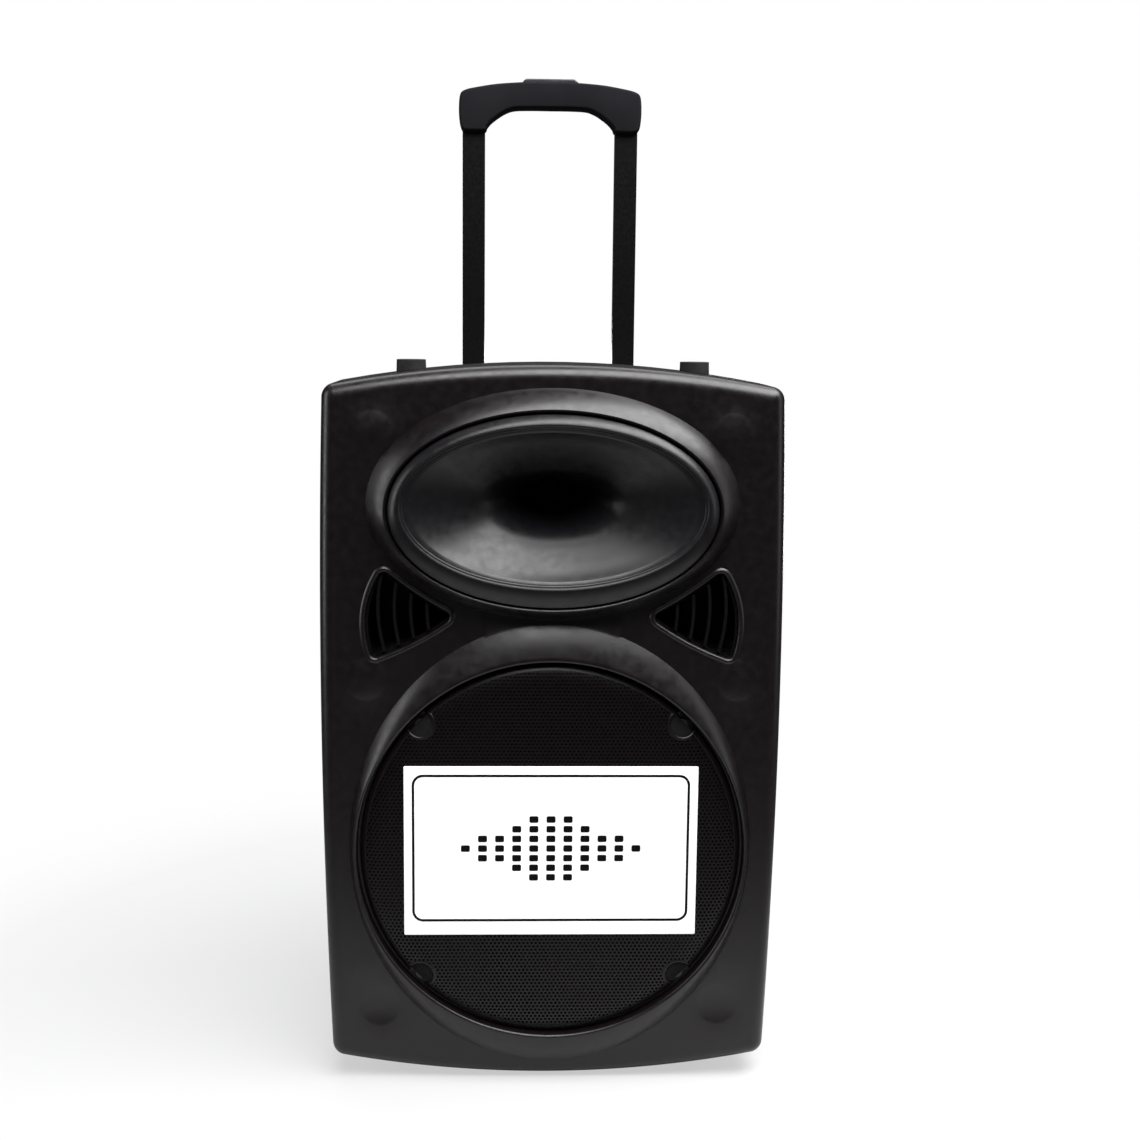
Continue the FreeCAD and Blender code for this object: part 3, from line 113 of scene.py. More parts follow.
class Finish:
    """A Principled material whose detail is wired up step by step in object space."""

    def __init__(self, name, color, roughness, metallic=0.0, specular=0.5, coat=0.0, glow=0.0):
        self.material = bpy.data.materials.new(name)
        self.material.use_nodes = True
        self.nodes = self.material.node_tree.nodes
        self.links = self.material.node_tree.links
        self.shader = self.nodes["Principled BSDF"]
        self.color = color
        sockets = {"Base Color": (*color, 1), "Roughness": roughness, "Metallic": metallic,
                   "Specular IOR Level": specular, "Coat Weight": coat,
                   "Emission Color": (1, 1, 1, 1), "Emission Strength": glow}
        for socket, value in sockets.items():
            self.shader.inputs[socket].default_value = value
        self.position = self.nodes.new("ShaderNodeTexCoord").outputs["Object"]
        self.relief = None

    def add(self, kind, values, **sources):
        """A new node, its sockets set to the values or linked from the sources."""
        node = self.nodes.new(f"ShaderNode{kind}")
        for socket, value in values.items():
            node.inputs[socket].default_value = value
        for socket, source in sources.items():
            self.links.new(source, node.inputs[socket])
        return node

    def stretched(self, scale):
        """Object coordinates scaled by a different factor along each axis."""
        return self.add("Mapping", {"Scale": scale}, Vector=self.position).outputs["Vector"]

    def noise(self, size, detail=3.0, vector=None):
        """Noise whose lumps are about size millimetres across."""
        values = {"Scale": 1 / (size * MM), "Detail": detail}
        return self.add("TexNoise", values, Vector=vector or self.position).outputs["Fac"]

    def cells(self, size):
        """Distance to the nearest of scattered points about size millimetres apart."""
        node = self.add("TexVoronoi", {"Scale": 1 / (size * MM)}, Vector=self.position)
        return node.outputs["Distance"]

    def bands(self, size, axis="Z", kind="BANDS"):
        """Bands or rings about size millimetres apart."""
        node = self.add("TexWave", {"Scale": 1 / (size * MM) / 3.2}, Vector=self.position)
        node.wave_type = kind
        if kind == "BANDS":
            node.bands_direction = axis
        else:
            node.rings_direction = axis
        return node.outputs["Fac"]

    def tint(self, driver, other, start=0.35, end=0.65):
        """Base colour that varies from the finish's own to the other one."""
        ramp = self.add("ValToRGB", {}, Fac=driver)
        stops = ramp.color_ramp.elements
        stops[0].position, stops[1].position = start, end
        stops[0].color, stops[1].color = (*self.color, 1), (*other, 1)
        self.links.new(ramp.outputs["Color"], self.shader.inputs["Base Color"])

    def gloss(self, driver, low, high):
        """Roughness that varies between low and high."""
        values = {"From Min": 0.3, "From Max": 0.7, "To Min": low, "To Max": high}
        spread = self.add("MapRange", values, Value=driver)
        self.links.new(spread.outputs["Result"], self.shader.inputs["Roughness"])

    def bump(self, driver, depth):
        """Relief of about depth millimetres, added to any relief already there."""
        node = self.add("Bump", {"Distance": depth * MM, "Strength": 1.0}, Height=driver)
        if self.relief:
            self.links.new(self.relief, node.inputs["Normal"])
        self.relief = node.outputs["Normal"]
        self.links.new(self.relief, self.shader.inputs["Normal"])


def lighter(color, factor):
    """The colour scaled by the factor, no channel past 1."""
    return tuple(min(1.0, channel * factor) for channel in color)


def moulded(name, color, roughness=0.42, grain=0.9, depth=0.03, specular=0.5, mottle=1.14,
            glow=0.0):
    """Injection-moulded plastic with a fine spark-eroded grain and faint flow marks."""
    finish = Finish(name, color, roughness, specular=specular, glow=glow)
    finish.tint(finish.noise(38, 4), lighter(color, mottle))
    finish.gloss(finish.noise(9, 5), roughness - 0.05, roughness + 0.07)
    finish.bump(finish.noise(60, 1), 0.012)
    finish.bump(finish.noise(grain, 2), depth)
    return finish.material


def rubbery(name, color, roughness=0.75):
    """Moulded rubber: dull, dusty in places, with a fine pitted skin."""
    finish = Finish(name, color, roughness, specular=0.35)
    finish.tint(finish.noise(12, 6), lighter(color, 2.0), 0.45, 0.8)
    finish.gloss(finish.noise(5, 4), roughness - 0.1, roughness + 0.12)
    finish.bump(finish.cells(1.3), 0.04)
    return finish.material


def plated(name, color, roughness=0.25, brushed=(1, 1, 14)):
    """Metal with fine directional machining marks and slight tarnish."""
    finish = Finish(name, color, roughness, metallic=1.0)
    finish.tint(finish.noise(7, 5), lighter(color, 0.72), 0.5, 0.85)
    finish.gloss(finish.noise(2.5, 4), roughness - 0.06, roughness + 0.14)
    finish.bump(finish.noise(3, 3, finish.stretched(brushed)), 0.015)
    return finish.material


def painted_metal(name, color, roughness=0.38, grain=1.1, depth=0.02, coat=0.15, specular=0.5):
    """Powder-coated or painted metal with a faint orange-peel skin."""
    finish = Finish(name, color, roughness, coat=coat, specular=specular)
    finish.tint(finish.noise(16, 5), lighter(color, 1.15), 0.4, 0.75)
    finish.gloss(finish.noise(4, 4), roughness - 0.03, roughness + 0.05)
    finish.bump(finish.noise(grain, 2), depth / 2)
    return finish.material


def woven(name, color, size=1.2):
    """Open woven cloth: crossing threads seen as a fine check."""
    finish = Finish(name, color, 0.9, specular=0.2)
    finish.tint(finish.noise(3, 5), lighter(color, 2.2), 0.4, 0.8)
    finish.gloss(finish.noise(2, 2), 0.82, 0.97)
    finish.bump(finish.bands(size, "X"), 0.12)
    finish.bump(finish.bands(size, "Z"), 0.12)
    return finish.material


def wound(name, color, size=0.6):
    """Copper wire wound side by side along the axis of the coil."""
    finish = Finish(name, color, 0.3, metallic=1.0)
    finish.tint(finish.bands(size, "Y"), lighter(color, 0.45), 0.2, 0.9)
    finish.bump(finish.bands(size, "Y"), 0.15)
    return finish.material


def pulp(name, color):
    """Pressed paper pulp of a loudspeaker cone, with short fibres."""
    finish = Finish(name, color, 0.85, specular=0.25)
    finish.tint(finish.noise(1.6, 6), lighter(color, 2.4), 0.5, 0.85)
    finish.bump(finish.noise(1.1, 6), 0.12)
    finish.bump(finish.bands(9, "Y", "RINGS"), 0.3)
    return finish.material


def ceramic(name, color):
    """Sintered ferrite: dark grey, granular, with a few pale scuffs."""
    finish = Finish(name, color, 0.62)
    finish.tint(finish.noise(2.2, 8), lighter(color, 2.6), 0.55, 0.9)
    finish.bump(finish.noise(0.8, 5), 0.08)
    return finish.material


def laminate(name, color):
    """Printed circuit board: green lacquer over copper tracks."""
    finish = Finish(name, color, 0.35, coat=0.4)
    finish.tint(finish.bands(6, "X"), lighter(color, 2.3), 0.78, 0.82)
    finish.gloss(finish.noise(5, 3), 0.28, 0.42)
    finish.bump(finish.bands(6, "X"), 0.05)
    return finish.material


MAKERS = {
    "cabinet_plastic": lambda n: moulded(n, (0.0036, 0.0022, 0.0026), 0.33, depth=0.02, specular=0.4),
    "trim_plastic": lambda n: moulded(n, (0.009, 0.0085, 0.009), 0.5, depth=0.04),
    "rubber": lambda n: rubbery(n, (0.005, 0.005, 0.005)),
    "screw_steel": lambda n: plated(n, (0.05, 0.05, 0.055), 0.38),
    "basket_steel": lambda n: painted_metal(n, (0.012, 0.012, 0.013), 0.5),
    "ferrite": lambda n: ceramic(n, (0.03, 0.03, 0.033)),
    "plated_steel": lambda n: plated(n, (0.55, 0.55, 0.5), 0.3),
    "cone_paper": lambda n: pulp(n, (0.012, 0.012, 0.012)),
    "copper": lambda n: wound(n, (0.75, 0.3, 0.12)),
    "surround_foam": lambda n: rubbery(n, (0.014, 0.013, 0.013), 0.8),
    "spider_cloth": lambda n: woven(n, (0.45, 0.28, 0.09)),
    "grille_steel": lambda n: painted_metal(n, (0.0030, 0.0018, 0.0022), 0.36, 0.7, coat=0.0, specular=0.28),
    # Painted light: the badge plastic glows faintly (white emission 0.2) so it looks brighter than its lamps
    # make it.
    "badge_plastic": lambda n: moulded(n, (0.9, 0.9, 0.9), 0.36, 2.0, 0.006, mottle=1.02, glow=0.2),
    "horn_plastic": lambda n: moulded(n, (0.0042, 0.0036, 0.0044), 0.34, 1.2, 0.008, specular=0.35),
    "driver_metal": lambda n: plated(n, (0.03, 0.03, 0.03), 0.5),
    "circuit_board": lambda n: laminate(n, (0.01, 0.08, 0.03)),
    "grip_plastic": lambda n: moulded(n, (0.0115, 0.0112, 0.013), 0.6, 0.8, 0.04, specular=0.0),
    "tube_metal": lambda n: painted_metal(n, (0.0018, 0.0018, 0.0019), 0.3, coat=0.0, specular=0.25),
    "guide_metal": lambda n: plated(n, (0.3, 0.3, 0.31), 0.42),
    "button_plastic": lambda n: moulded(n, (0.008, 0.0085, 0.0105), 0.4, 0.9, 0.03),
    "spring_steel": lambda n: plated(n, (0.5, 0.5, 0.52), 0.28),
    "hub_plastic": lambda n: moulded(n, (0.03, 0.03, 0.031), 0.46),
    "tyre": lambda n: rubbery(n, (0.014, 0.014, 0.014), 0.82),
    "panel_paint": lambda n: painted_metal(n, (0.013, 0.013, 0.014), 0.46, 0.8, 0.04),
    "knob_plastic": lambda n: moulded(n, (0.016, 0.016, 0.017), 0.36, 1.0, 0.015),
    "key_rubber": lambda n: rubbery(n, (0.06, 0.06, 0.065), 0.6),
    "rocker_plastic": lambda n: moulded(n, (0.45, 0.012, 0.01), 0.3, 1.2, 0.01),
    "connector_plastic": lambda n: moulded(n, (0.014, 0.014, 0.014), 0.4, 1.0, 0.02),
    "module_plastic": lambda n: moulded(n, (0.018, 0.018, 0.02), 0.3, 1.4, 0.01),
    "sink_aluminium": lambda n: plated(n, (0.1, 0.1, 0.105), 0.42),
    "battery_case": lambda n: moulded(n, (0.12, 0.13, 0.15), 0.45),
}
MATERIALS = {slot: make(slot) for slot, make in MAKERS.items()}
PRINT_WHITE = moulded("print_white", (0.7, 0.7, 0.7), 0.5, 1.5, 0.01)
# Painted shade: a darker copy of the trim plastic for the vent louvres, so the vents look as dark as their
# shaded hollows.
VENT_PAINTED_SHADE = moulded("vent_painted_shade", (0.0014, 0.0012, 0.0013), 0.5, specular=0.15)
PRINT_BLACK = moulded("print_black", (0.0012, 0.0012, 0.0012), 0.5, 1.5, 0.01, specular=0.12)
GRILLE_CLOTH = woven("grille_cloth", (0.004, 0.004, 0.004), 0.9)


# ---------------------------------------------------------------- making pieces

def smooth_by_angle(mesh, degrees):
    """Shades the mesh smooth and marks the edges that turn more than this as sharp."""
    form = bmesh.new()
    form.from_mesh(mesh)
    limit = math.radians(degrees)
    for face in form.faces:
        face.smooth = True
    for edge in form.edges:
        edge.smooth = len(edge.link_faces) == 2 and edge.calc_face_angle() < limit
    form.to_mesh(mesh)
    form.free()


def show(name, mesh, slot, body, nodes=(), material=None):
    """Makes the mesh a piece that rides on a body and stands for the CAD nodes."""
    piece = bpy.data.objects.new(name, mesh)
    bpy.context.scene.collection.objects.link(piece)
    mesh.materials.clear()
    mesh.materials.append(material or MATERIALS[slot])
    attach(piece, body)
    if nodes:
        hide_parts(*nodes)
    return piece


def stand_in(name, mesh, node, material=None):
    """A piece that takes the place of a CAD node, with that node's slot and body."""
    return show(name, mesh, SLOTS[node], BODIES[node], [node], material)


def add_on(name, mesh, node, material):
    """A printed detail that rides with a CAD node and leaves it in place."""
    show(name, mesh, SLOTS[node], BODIES[node], material=material)


class Form:
    """Points in millimetres and faces of one piece while it is being built."""

    def __init__(self):
        self.points = []
        self.faces = []

    def loop(self, points):
        start = len(self.points)
        self.points.extend(points)
        return list(range(start, len(self.points)))

    def slice(self, outline, y):
        """The loop that a flat outline (x, z) makes at depth y."""
        return self.loop([(x, y, z) for x, z in outline])

    def ring(self, half_x, half_z, level, y):
        return self.slice(oval(half_x, half_z, level), y)

    def skin(self, loops, closed=True):
        """Quads between each loop and the next one, with a cap at both ends if closed."""
        for first, second in zip(loops, loops[1:]):
            for i in range(len(first)):
                j = (i + 1) % len(first)
                self.faces.append((first[i], first[j], second[j], second[i]))
        if closed:
            self.faces.append(tuple(loops[0]))
            self.faces.append(tuple(reversed(loops[-1])))

    def mesh(self, name, degrees=32, weld=0.004):
        """The form as a mesh: points closer than weld joined, edges past degrees sharp."""
        mesh = bpy.data.meshes.new(name)
        mesh.from_pydata([Vector(p) * MM for p in self.points], [], self.faces)
        form = bmesh.new()
        form.from_mesh(mesh)
        bmesh.ops.remove_doubles(form, verts=form.verts, dist=weld * MM)
        bmesh.ops.recalc_face_normals(form, faces=form.faces)
        form.to_mesh(mesh)
        form.free()
        smooth_by_angle(mesh, degrees)
        return mesh


SOFT_DEGREES = 34


def soften(node, width, material=None):
    """A copy of a CAD node with its coplanar facets joined and its edges rounded."""
    source = frame["nodes"][node].data
    mesh = bpy.data.meshes.new(f"{node}_softened")
    mesh.from_pydata([v.co.copy() for v in source.vertices], [],
                     [tuple(p.vertices) for p in source.polygons])
    form = bmesh.new()
    form.from_mesh(mesh)
    bmesh.ops.remove_doubles(form, verts=form.verts, dist=0.002 * MM)
    bmesh.ops.dissolve_limit(form, angle_limit=math.radians(0.4), verts=form.verts,
                             edges=form.edges)
    form.to_mesh(mesh)
    form.free()
    smooth_by_angle(mesh, SOFT_DEGREES)
    piece = stand_in(f"{node}_look", mesh, node, material)
    bevel = piece.modifiers.new("rounded_edges", "BEVEL")
    bevel.width = width * MM
    bevel.segments = 2
    bevel.limit_method = "ANGLE"
    bevel.angle_limit = math.radians(SOFT_DEGREES)
    bevel.use_clamp_overlap = True
    bevel.harden_normals = True
    bevel.miter_outer = "MITER_ARC"
    even = piece.modifiers.new("even_shading", "WEIGHTED_NORMAL")
    even.keep_sharp = True


OVAL_POINTS = 288


def oval(half_x, half_z, level):
    """Closed loop (x, z) round an upright ellipse on the object's middle line."""
    angles = [math.tau * i / OVAL_POINTS for i in range(OVAL_POINTS)]
    return [(half_x * math.cos(a), level + half_z * math.sin(a)) for a in angles]


def circle_outline(x, z, radius, count=48):
    """Closed loop (x, z) round a circle."""
    angles = [math.tau * i / count for i in range(count)]
    return [(x + radius * math.cos(a), z + radius * math.sin(a)) for a in angles]


def quarter(steps):
    """(1 - cos, sin) along a quarter turn, for rounding one surface into the next."""
    for step in range(steps + 1):
        angle = math.pi / 2 * step / steps
        yield 1 - math.cos(angle), math.sin(angle)


# ---------------------------------------------------------------- outlines made of arcs

def circle_through(first, middle, last):
    """Centre and radius of the circle through three points (x, z)."""
    ax, az = first
    bx, bz = middle
    cx, cz = last
    divisor = 2 * (ax * (bz - cz) + bx * (cz - az) + cx * (az - bz))
    a2, b2, c2 = ax * ax + az * az, bx * bx + bz * bz, cx * cx + cz * cz
    centre = Vector(((a2 * (bz - cz) + b2 * (cz - az) + c2 * (az - bz)) / divisor,
                     (a2 * (cx - bx) + b2 * (ax - cx) + c2 * (bx - ax)) / divisor))
    return centre, (Vector(first) - centre).length


def meeting_point(centre_a, radius_a, centre_b, radius_b, near):
    """Where two circles cross, on the side of the point near."""
    between = centre_b - centre_a
    distance = between.length
    along = (radius_a ** 2 - radius_b ** 2 + distance ** 2) / (2 * distance)
    height = math.sqrt(max(radius_a ** 2 - along ** 2, 0.0))
    base = centre_a + between * (along / distance)
    across = Vector((-between.y, between.x)) * (height / distance)
    return min((base + across, base - across), key=lambda p: (p - near).length)


def arc_points(centre, start, end, count):
    """Points from start to end about the centre, the short way, without the last."""
    radius = (start - centre).length
    first = math.atan2(start.y - centre.y, start.x - centre.x)
    sweep = math.atan2(end.y - centre.y, end.x - centre.x) - first
    sweep = (sweep + math.pi) % math.tau - math.pi
    return [(centre.x + radius * math.cos(first + sweep * i / count),
             centre.y + radius * math.sin(first + sweep * i / count)) for i in range(count)]


def arc_outline(corners, middles, counts, corner_radius, inset=0.0, corner_count=10):
    """Closed loop (x, z) of arcs with rounded corners, moved inward by inset all round."""
    total = len(corners)
    inside = sum((Vector(c) for c in corners), Vector((0, 0))) / total
    arcs = []
    for i in range(total):
        first, middle, last = corners[i], middles[i], corners[(i + 1) % total]
        centre, radius = circle_through(first, middle, last)
        chord = (Vector(first) + Vector(last)) / 2
        hollow = (Vector(middle) - chord).dot(chord - inside) < 0
        arcs.append((centre, radius, -1 if hollow else 1))
    rounding = max(corner_radius - inset, 3.0)
    bends = []
    for i in range(total):
        before, after = arcs[i - 1], arcs[i]
        reach = [radius - way * (inset + rounding) for _, radius, way in (before, after)]
        centre = meeting_point(before[0], reach[0], after[0], reach[1], Vector(corners[i]))
        ends = [arc[0] + (centre - arc[0]).normalized() * (arc[1] - arc[2] * inset)
                for arc in (before, after)]
        bends.append((centre, *ends))
    points = []
    for i in range(total):
        centre, start, end = bends[i]
        points += arc_points(centre, start, end, corner_count)
        points += arc_points(arcs[i][0], end, bends[(i + 1) % total][1], counts[i])
    return points


CABINET_LOW, CABINET_HIGH = 3.4, 729.4
CABINET_HALF = CAD_BOX[1].x / MM
CABINET_BOW = 22.0
WIDEST = CABINET_LOW + 0.53 * (CABINET_HIGH - CABINET_LOW)
FOOT, SHOULDER = CABINET_HALF - 8.0, CABINET_HALF - 4.8
CABINET_CORNERS = ((FOOT, CABINET_LOW + CABINET_BOW), (SHOULDER, CABINET_HIGH - CABINET_BOW),
                   (-SHOULDER, CABINET_HIGH - CABINET_BOW), (-FOOT, CABINET_LOW + CABINET_BOW))
CABINET_MIDDLES = ((CABINET_HALF, WIDEST), (0, CABINET_HIGH), (-CABINET_HALF, WIDEST),
                   (0, CABINET_LOW))
VENT_CORNERS = ((166, 530), (177, 441), (96, 484))
VENT_MIDDLES = ((181.5, 492), (140, 456.5), (137, 508))


def cabinet_outline(inset=0.0):
    """Closed loop (x, z) round the front of the cabinet."""
    return arc_outline(CABINET_CORNERS, CABINET_MIDDLES, (70, 48, 70, 48), 14.0, inset)


def vent_outline(side, inset=0.0):
    """Closed loop (x, z) round the vent on the left (-1) or the right (1)."""
    points = arc_outline(VENT_CORNERS, VENT_MIDDLES, (28, 28, 24), 6.0, inset, 8)
    return [(side * x, z) for x, z in points]


def within(points, x, z):
    """Whether (x, z) lies inside the closed loop."""
    inside = False
    for (ax, az), (bx, bz) in zip(points, points[1:] + points[:1]):
        if (az > z) != (bz > z) and x < ax + (z - az) / (bz - az) * (bx - ax):
            inside = not inside
    return inside


def within_oval(x, z, half_x, half_z, level):
    return (x / half_x) ** 2 + ((z - level) / half_z) ** 2 < 1


# ---------------------------------------------------------------- front baffle

EDGE_ROUNDING = 14.0
PLATE_BACK = FRONT + 5.0
REAR_INSET = 4.0
COLLAR = (201.0, 228.0, WOOFER_LEVEL + 2)
COLLAR_CREST = (196.0, 196.0, WOOFER_LEVEL)
COLLAR_RISE = 14.0
RECESS = (193.0, 193.0)
CUTOUT_RADIUS = 168.0
CUTOUT = (CUTOUT_RADIUS, CUTOUT_RADIUS, WOOFER_LEVEL)
BEZEL = (182.0, 113.0, HORN_LEVEL)
BEZEL_CREST = (164.0, 98.0, HORN_SEAT_LEVEL)
BEZEL_RISE = 20.0
SEAT = (161.0, 95.0)
SEAT_FLOOR = FRONT - 8
SEAT_THROAT = (SEAT[0] - 10, SEAT[1] - 10, HORN_SEAT_LEVEL)
BEAD_WIDTH = 6.0
BEAD = ((BEAD_WIDTH, 0), (5.2, -0.7), (4.1, -1.5), (3.0, -1.8), (1.9, -1.5), (0.9, -0.6),
        (0.2, 0.8), (0, 2.2), (0, PLATE_BACK - FRONT))
BUMPS = ((174, 664, 3), (184, 420, 3), (172, 81, -3))
BUMP_RADIUS = 23.0
BUMP_RINGS = (1.0, 0.85, 0.7, 0.55, 0.4, 0.25, 0.1)


def blended(first, last, share):
    """The numbers of first moved towards those of last by the share."""
    return [a + (b - a) * share for a, b in zip(first, last)]


def relief(x, z):
    """How far the bumps and dishes stand in front of the front face at (x, z)."""
    height = 0.0
    for bump_x, bump_z, rise in BUMPS:
        share = ((abs(x) - bump_x) ** 2 + (z - bump_z) ** 2) / BUMP_RADIUS ** 2
        if share < 1:
            height += rise * (1 - share)
    return height


def flat_fill(form, loops, keep, depth):
    """Triangles between closed loops (x, z), where keep says so, at depth(x, z)."""
    points, edges = [], []
    for loop in loops:
        start = len(points)
        points += [Vector(p) for p in loop]
        edges += [(start + i, start + (i + 1) % len(loop)) for i in range(len(loop))]
    made, _, faces, _, _, _ = delaunay_2d_cdt(points, edges, [], 0, 1e-4)
    index = form.loop([(p.x, depth(p.x, p.y), p.y) for p in made])
    for face in faces:
        middle = sum((made[i] for i in face), Vector((0, 0))) / len(face)
        if keep(middle.x, middle.y):
            form.faces.append(tuple(index[i] for i in face))


def convex_slope(steps, curve=0.4):
    """Shares (inset, rise) along a slope that is steepest where it starts."""
    for step in range(steps + 1):
        share = step / steps
        yield share, share * (1 + curve * (1 - share))


def collar_loops(form, outer, crest, rise, inner, depth):
    """A convex collar from the front face up to its crest and over into a straight bore."""
    loops = []
    for inset, up in convex_slope(12):
        loops.append(form.ring(*blended(outer, crest, inset), FRONT - rise * up))
    half_x, half_z, level = crest
    reach_x, reach_z = crest[0] - inner[0], crest[1] - inner[1]
    for down, inset in quarter(5):
        loops.append(form.ring(half_x - reach_x * inset, half_z - reach_z * inset, level,
                               FRONT - rise + reach_x * down))
    for inset, short in ((0, 1.0), (0.3, 0.3), (1, 0)):
        loops.append(form.ring(inner[0] - inset, inner[1] - inset, level, depth - short))
    return loops


def skin_edge(form):
    """The baffle's outer wall, from inside the seam round to the rounded front edge."""
    wall = ((REAR_INSET, PLATE_BACK), (REAR_INSET, SEAM), (0.7, SEAM), (0.2, SEAM - 0.5),
            (0, SEAM - 1.2), (0, FRONT + EDGE_ROUNDING + 6))
    loops = [form.slice(cabinet_outline(inset), y) for inset, y in wall]
    for inset, up in quarter(10):
        loops.append(form.slice(cabinet_outline(EDGE_ROUNDING * inset),
                                FRONT + EDGE_ROUNDING * (1 - up)))
    form.skin(loops, closed=False)


def skin_openings(form):
    """Collar and bezel, each with the hole that goes on through the plate."""
    woofer = collar_loops(form, COLLAR, COLLAR_CREST, COLLAR_RISE, RECESS, FRONT)
    for outset, y in ((1.5, FRONT), (0.4, FRONT + 0.4), (0, FRONT + 1.5), (0, PLATE_BACK)):
        radius = CUTOUT_RADIUS + outset
        woofer.append(form.ring(radius, radius, WOOFER_LEVEL, y))
    form.skin(woofer, closed=False)
    horn = collar_loops(form, BEZEL, BEZEL_CREST, BEZEL_RISE, SEAT, SEAT_FLOOR)
    horn += [form.ring(*SEAT_THROAT, SEAT_FLOOR), form.ring(*SEAT_THROAT, PLATE_BACK)]
    form.skin(horn, closed=False)


def skin_vents(form):
    """The raised bead round each vent and the wall behind it."""
    for side in (-1, 1):
        vent = []
        for outset, back in BEAD:
            lift = max(0.0, 1 - back / 2) if back > 0 else 1.0
            vent.append(form.loop([(x, FRONT + back - relief(x, z) * lift, z)
                                   for x, z in vent_outline(side, -outset)]))
        form.skin(vent, closed=False)


def fill_front(form):
    """The face between the edge, the collars and the vents, with its bumps and dishes."""
    edge = cabinet_outline(EDGE_ROUNDING)
    vent_edge = vent_outline(1, -BEAD_WIDTH)
    loops = [edge, cabinet_outline(EDGE_ROUNDING + 1.5), oval(*COLLAR), oval(*BEZEL)]
    loops += [vent_outline(side, -BEAD_WIDTH - away) for away in (0, 1.4) for side in (-1, 1)]
    loops += [circle_outline(side * x, z, BUMP_RADIUS * share, 40) for x, z, _ in BUMPS
              for side in (-1, 1) for share in BUMP_RINGS]

    def on_front(x, z):
        return (within(edge, x, z) and not within_oval(x, z, *COLLAR)
                and not within_oval(x, z, *BEZEL) and not within(vent_edge, abs(x), z))

    flat_fill(form, loops, on_front, lambda x, z: FRONT - relief(x, z))


def fill_back(form):
    """The flat back of the plate between its openings."""
    edge, vent = cabinet_outline(REAR_INSET), vent_outline(1)
    loops = [edge, vent_outline(-1), vent, oval(*CUTOUT), oval(*SEAT_THROAT)]

    def on_back(x, z):
        return (within(edge, x, z) and not within(vent, abs(x), z)
                and not within_oval(x, z, *CUTOUT) and not within_oval(x, z, *SEAT_THROAT))

    flat_fill(form, loops, on_back, lambda x, z: PLATE_BACK)


def make_baffle():
    """The front moulding with its collar, bezel, vents and bumps, one closed skin."""
    form = Form()
    for part in (skin_edge, skin_openings, skin_vents, fill_front, fill_back):
        part(form)
    stand_in("front_baffle_moulding", form.mesh("front_baffle_moulding"), "front_baffle")


# ---------------------------------------------------------------- horn

HORN_DEPTH = 150.0
MOUTH = (145.0, 75.0)
THROAT_RADIUS = 12.7
LIP_CREST, LIP_EDGE, LIP_FALL = 0.85, 8.0, 1.2
FLARE = ((0.022, 0.975, 0.97), (0.07, 0.87, 0.88), (0.13, 0.74, 0.747), (0.22, 0.56, 0.547),
         (0.28, 0.46, 0.43), (0.36, 0.37, 0.345), (0.50, 0.26, 0.28), (0.75, 0.15, 0.215),
         (1.0, THROAT_RADIUS / MOUTH[0], THROAT_RADIUS / MOUTH[1]))


def curve_through(keys, steps):
    """Smooth curve through the keys, each a tuple of numbers (Catmull-Rom)."""
    keys = [keys[0], *keys, keys[-1]]
    for i in range(1, len(keys) - 2):
        for step in range(steps):
            t = step / steps
            yield [0.5 * (2 * b + (c - a) * t + (2 * a - 5 * b + 4 * c - d) * t * t
                          + (3 * b - a - 3 * c + d) * t ** 3)
                   for a, b, c, d in zip(*keys[i - 1:i + 3])]
    yield list(keys[-1])


def make_horn():
    """The flare with its convex lip, one closed skin from the seat to the throat and back."""
    form = Form()
    mouth_y = FRONT - HORN_PROUD
    lip = (SEAT[0] - 1.6, SEAT[1] - 1.6, HORN_SEAT_LEVEL)
    brim = (MOUTH[0] + 2.5, MOUTH[1] + 2.5, HORN_LEVEL)
    crest = blended(lip, brim, LIP_CREST)
    loops = [form.ring(*lip, FRONT - 7.7), form.ring(*lip, mouth_y + LIP_EDGE + 0.5)]
    for inset, up in convex_slope(12, 0.75):
        loops.append(form.ring(*blended(lip, crest, inset), mouth_y + LIP_EDGE * (1 - up)))
    for step in range(1, 7):
        loops.append(form.ring(*blended(crest, brim, step / 6),
                               mouth_y + LIP_FALL * (step / 6) ** 1.6))
    for down, inset in quarter(4):
        loops.append(form.ring(brim[0] - 2.5 * inset, brim[1] - 2.5 * inset, HORN_LEVEL,
                               mouth_y + LIP_FALL + 1.6 * down))
    flare = list(curve_through(FLARE, 8))
    for along, share_x, share_z in flare[1:]:
        loops.append(form.ring(MOUTH[0] * share_x, MOUTH[1] * share_z, HORN_LEVEL,
                               mouth_y + along * HORN_DEPTH))
    back_y = mouth_y + HORN_DEPTH
    for radius, y in ((THROAT_RADIUS, back_y + 8), (34, back_y + 8), (34, back_y)):
        loops.append(form.ring(radius, radius, HORN_LEVEL, y))
    for along, share_x, share_z in reversed(flare[8::4]):
        loops.append(form.ring(MOUTH[0] * share_x + 4, MOUTH[1] * share_z + 4, HORN_LEVEL,
                               mouth_y + along * HORN_DEPTH))
    form.skin(loops + loops[:1], closed=False)
    stand_in("horn_flare_moulding", form.mesh("horn_flare_moulding", 40), "horn_flare")


# ---------------------------------------------------------------- woofer grille and badge

GRILLE_RISE = 10.0
ROLL_START = GRILLE_RADIUS - 24
ROLL_DROP = 8.5
HOLE_PITCH = 4.1
HOLE_RADIUS = 1.5
SHEET = 1.0
RIM_STEPS, NOTCH_POINTS = 72, 56
CLOTH_RADIUS, CLOTH_RINGS, CLOTH_POINTS = 186, 25, 96
NOTCH_OFFSET = 130.0
NOTCH_RADIUS = 13.0
NOTCHES = [(i * NOTCH_OFFSET, WOOFER_LEVEL + j * NOTCH_OFFSET) for i in (-1, 1) for j in (-1, 1)]
BADGE_LOW, BADGE_HIGH = low_mm("badge_plate"), high_mm("badge_plate")


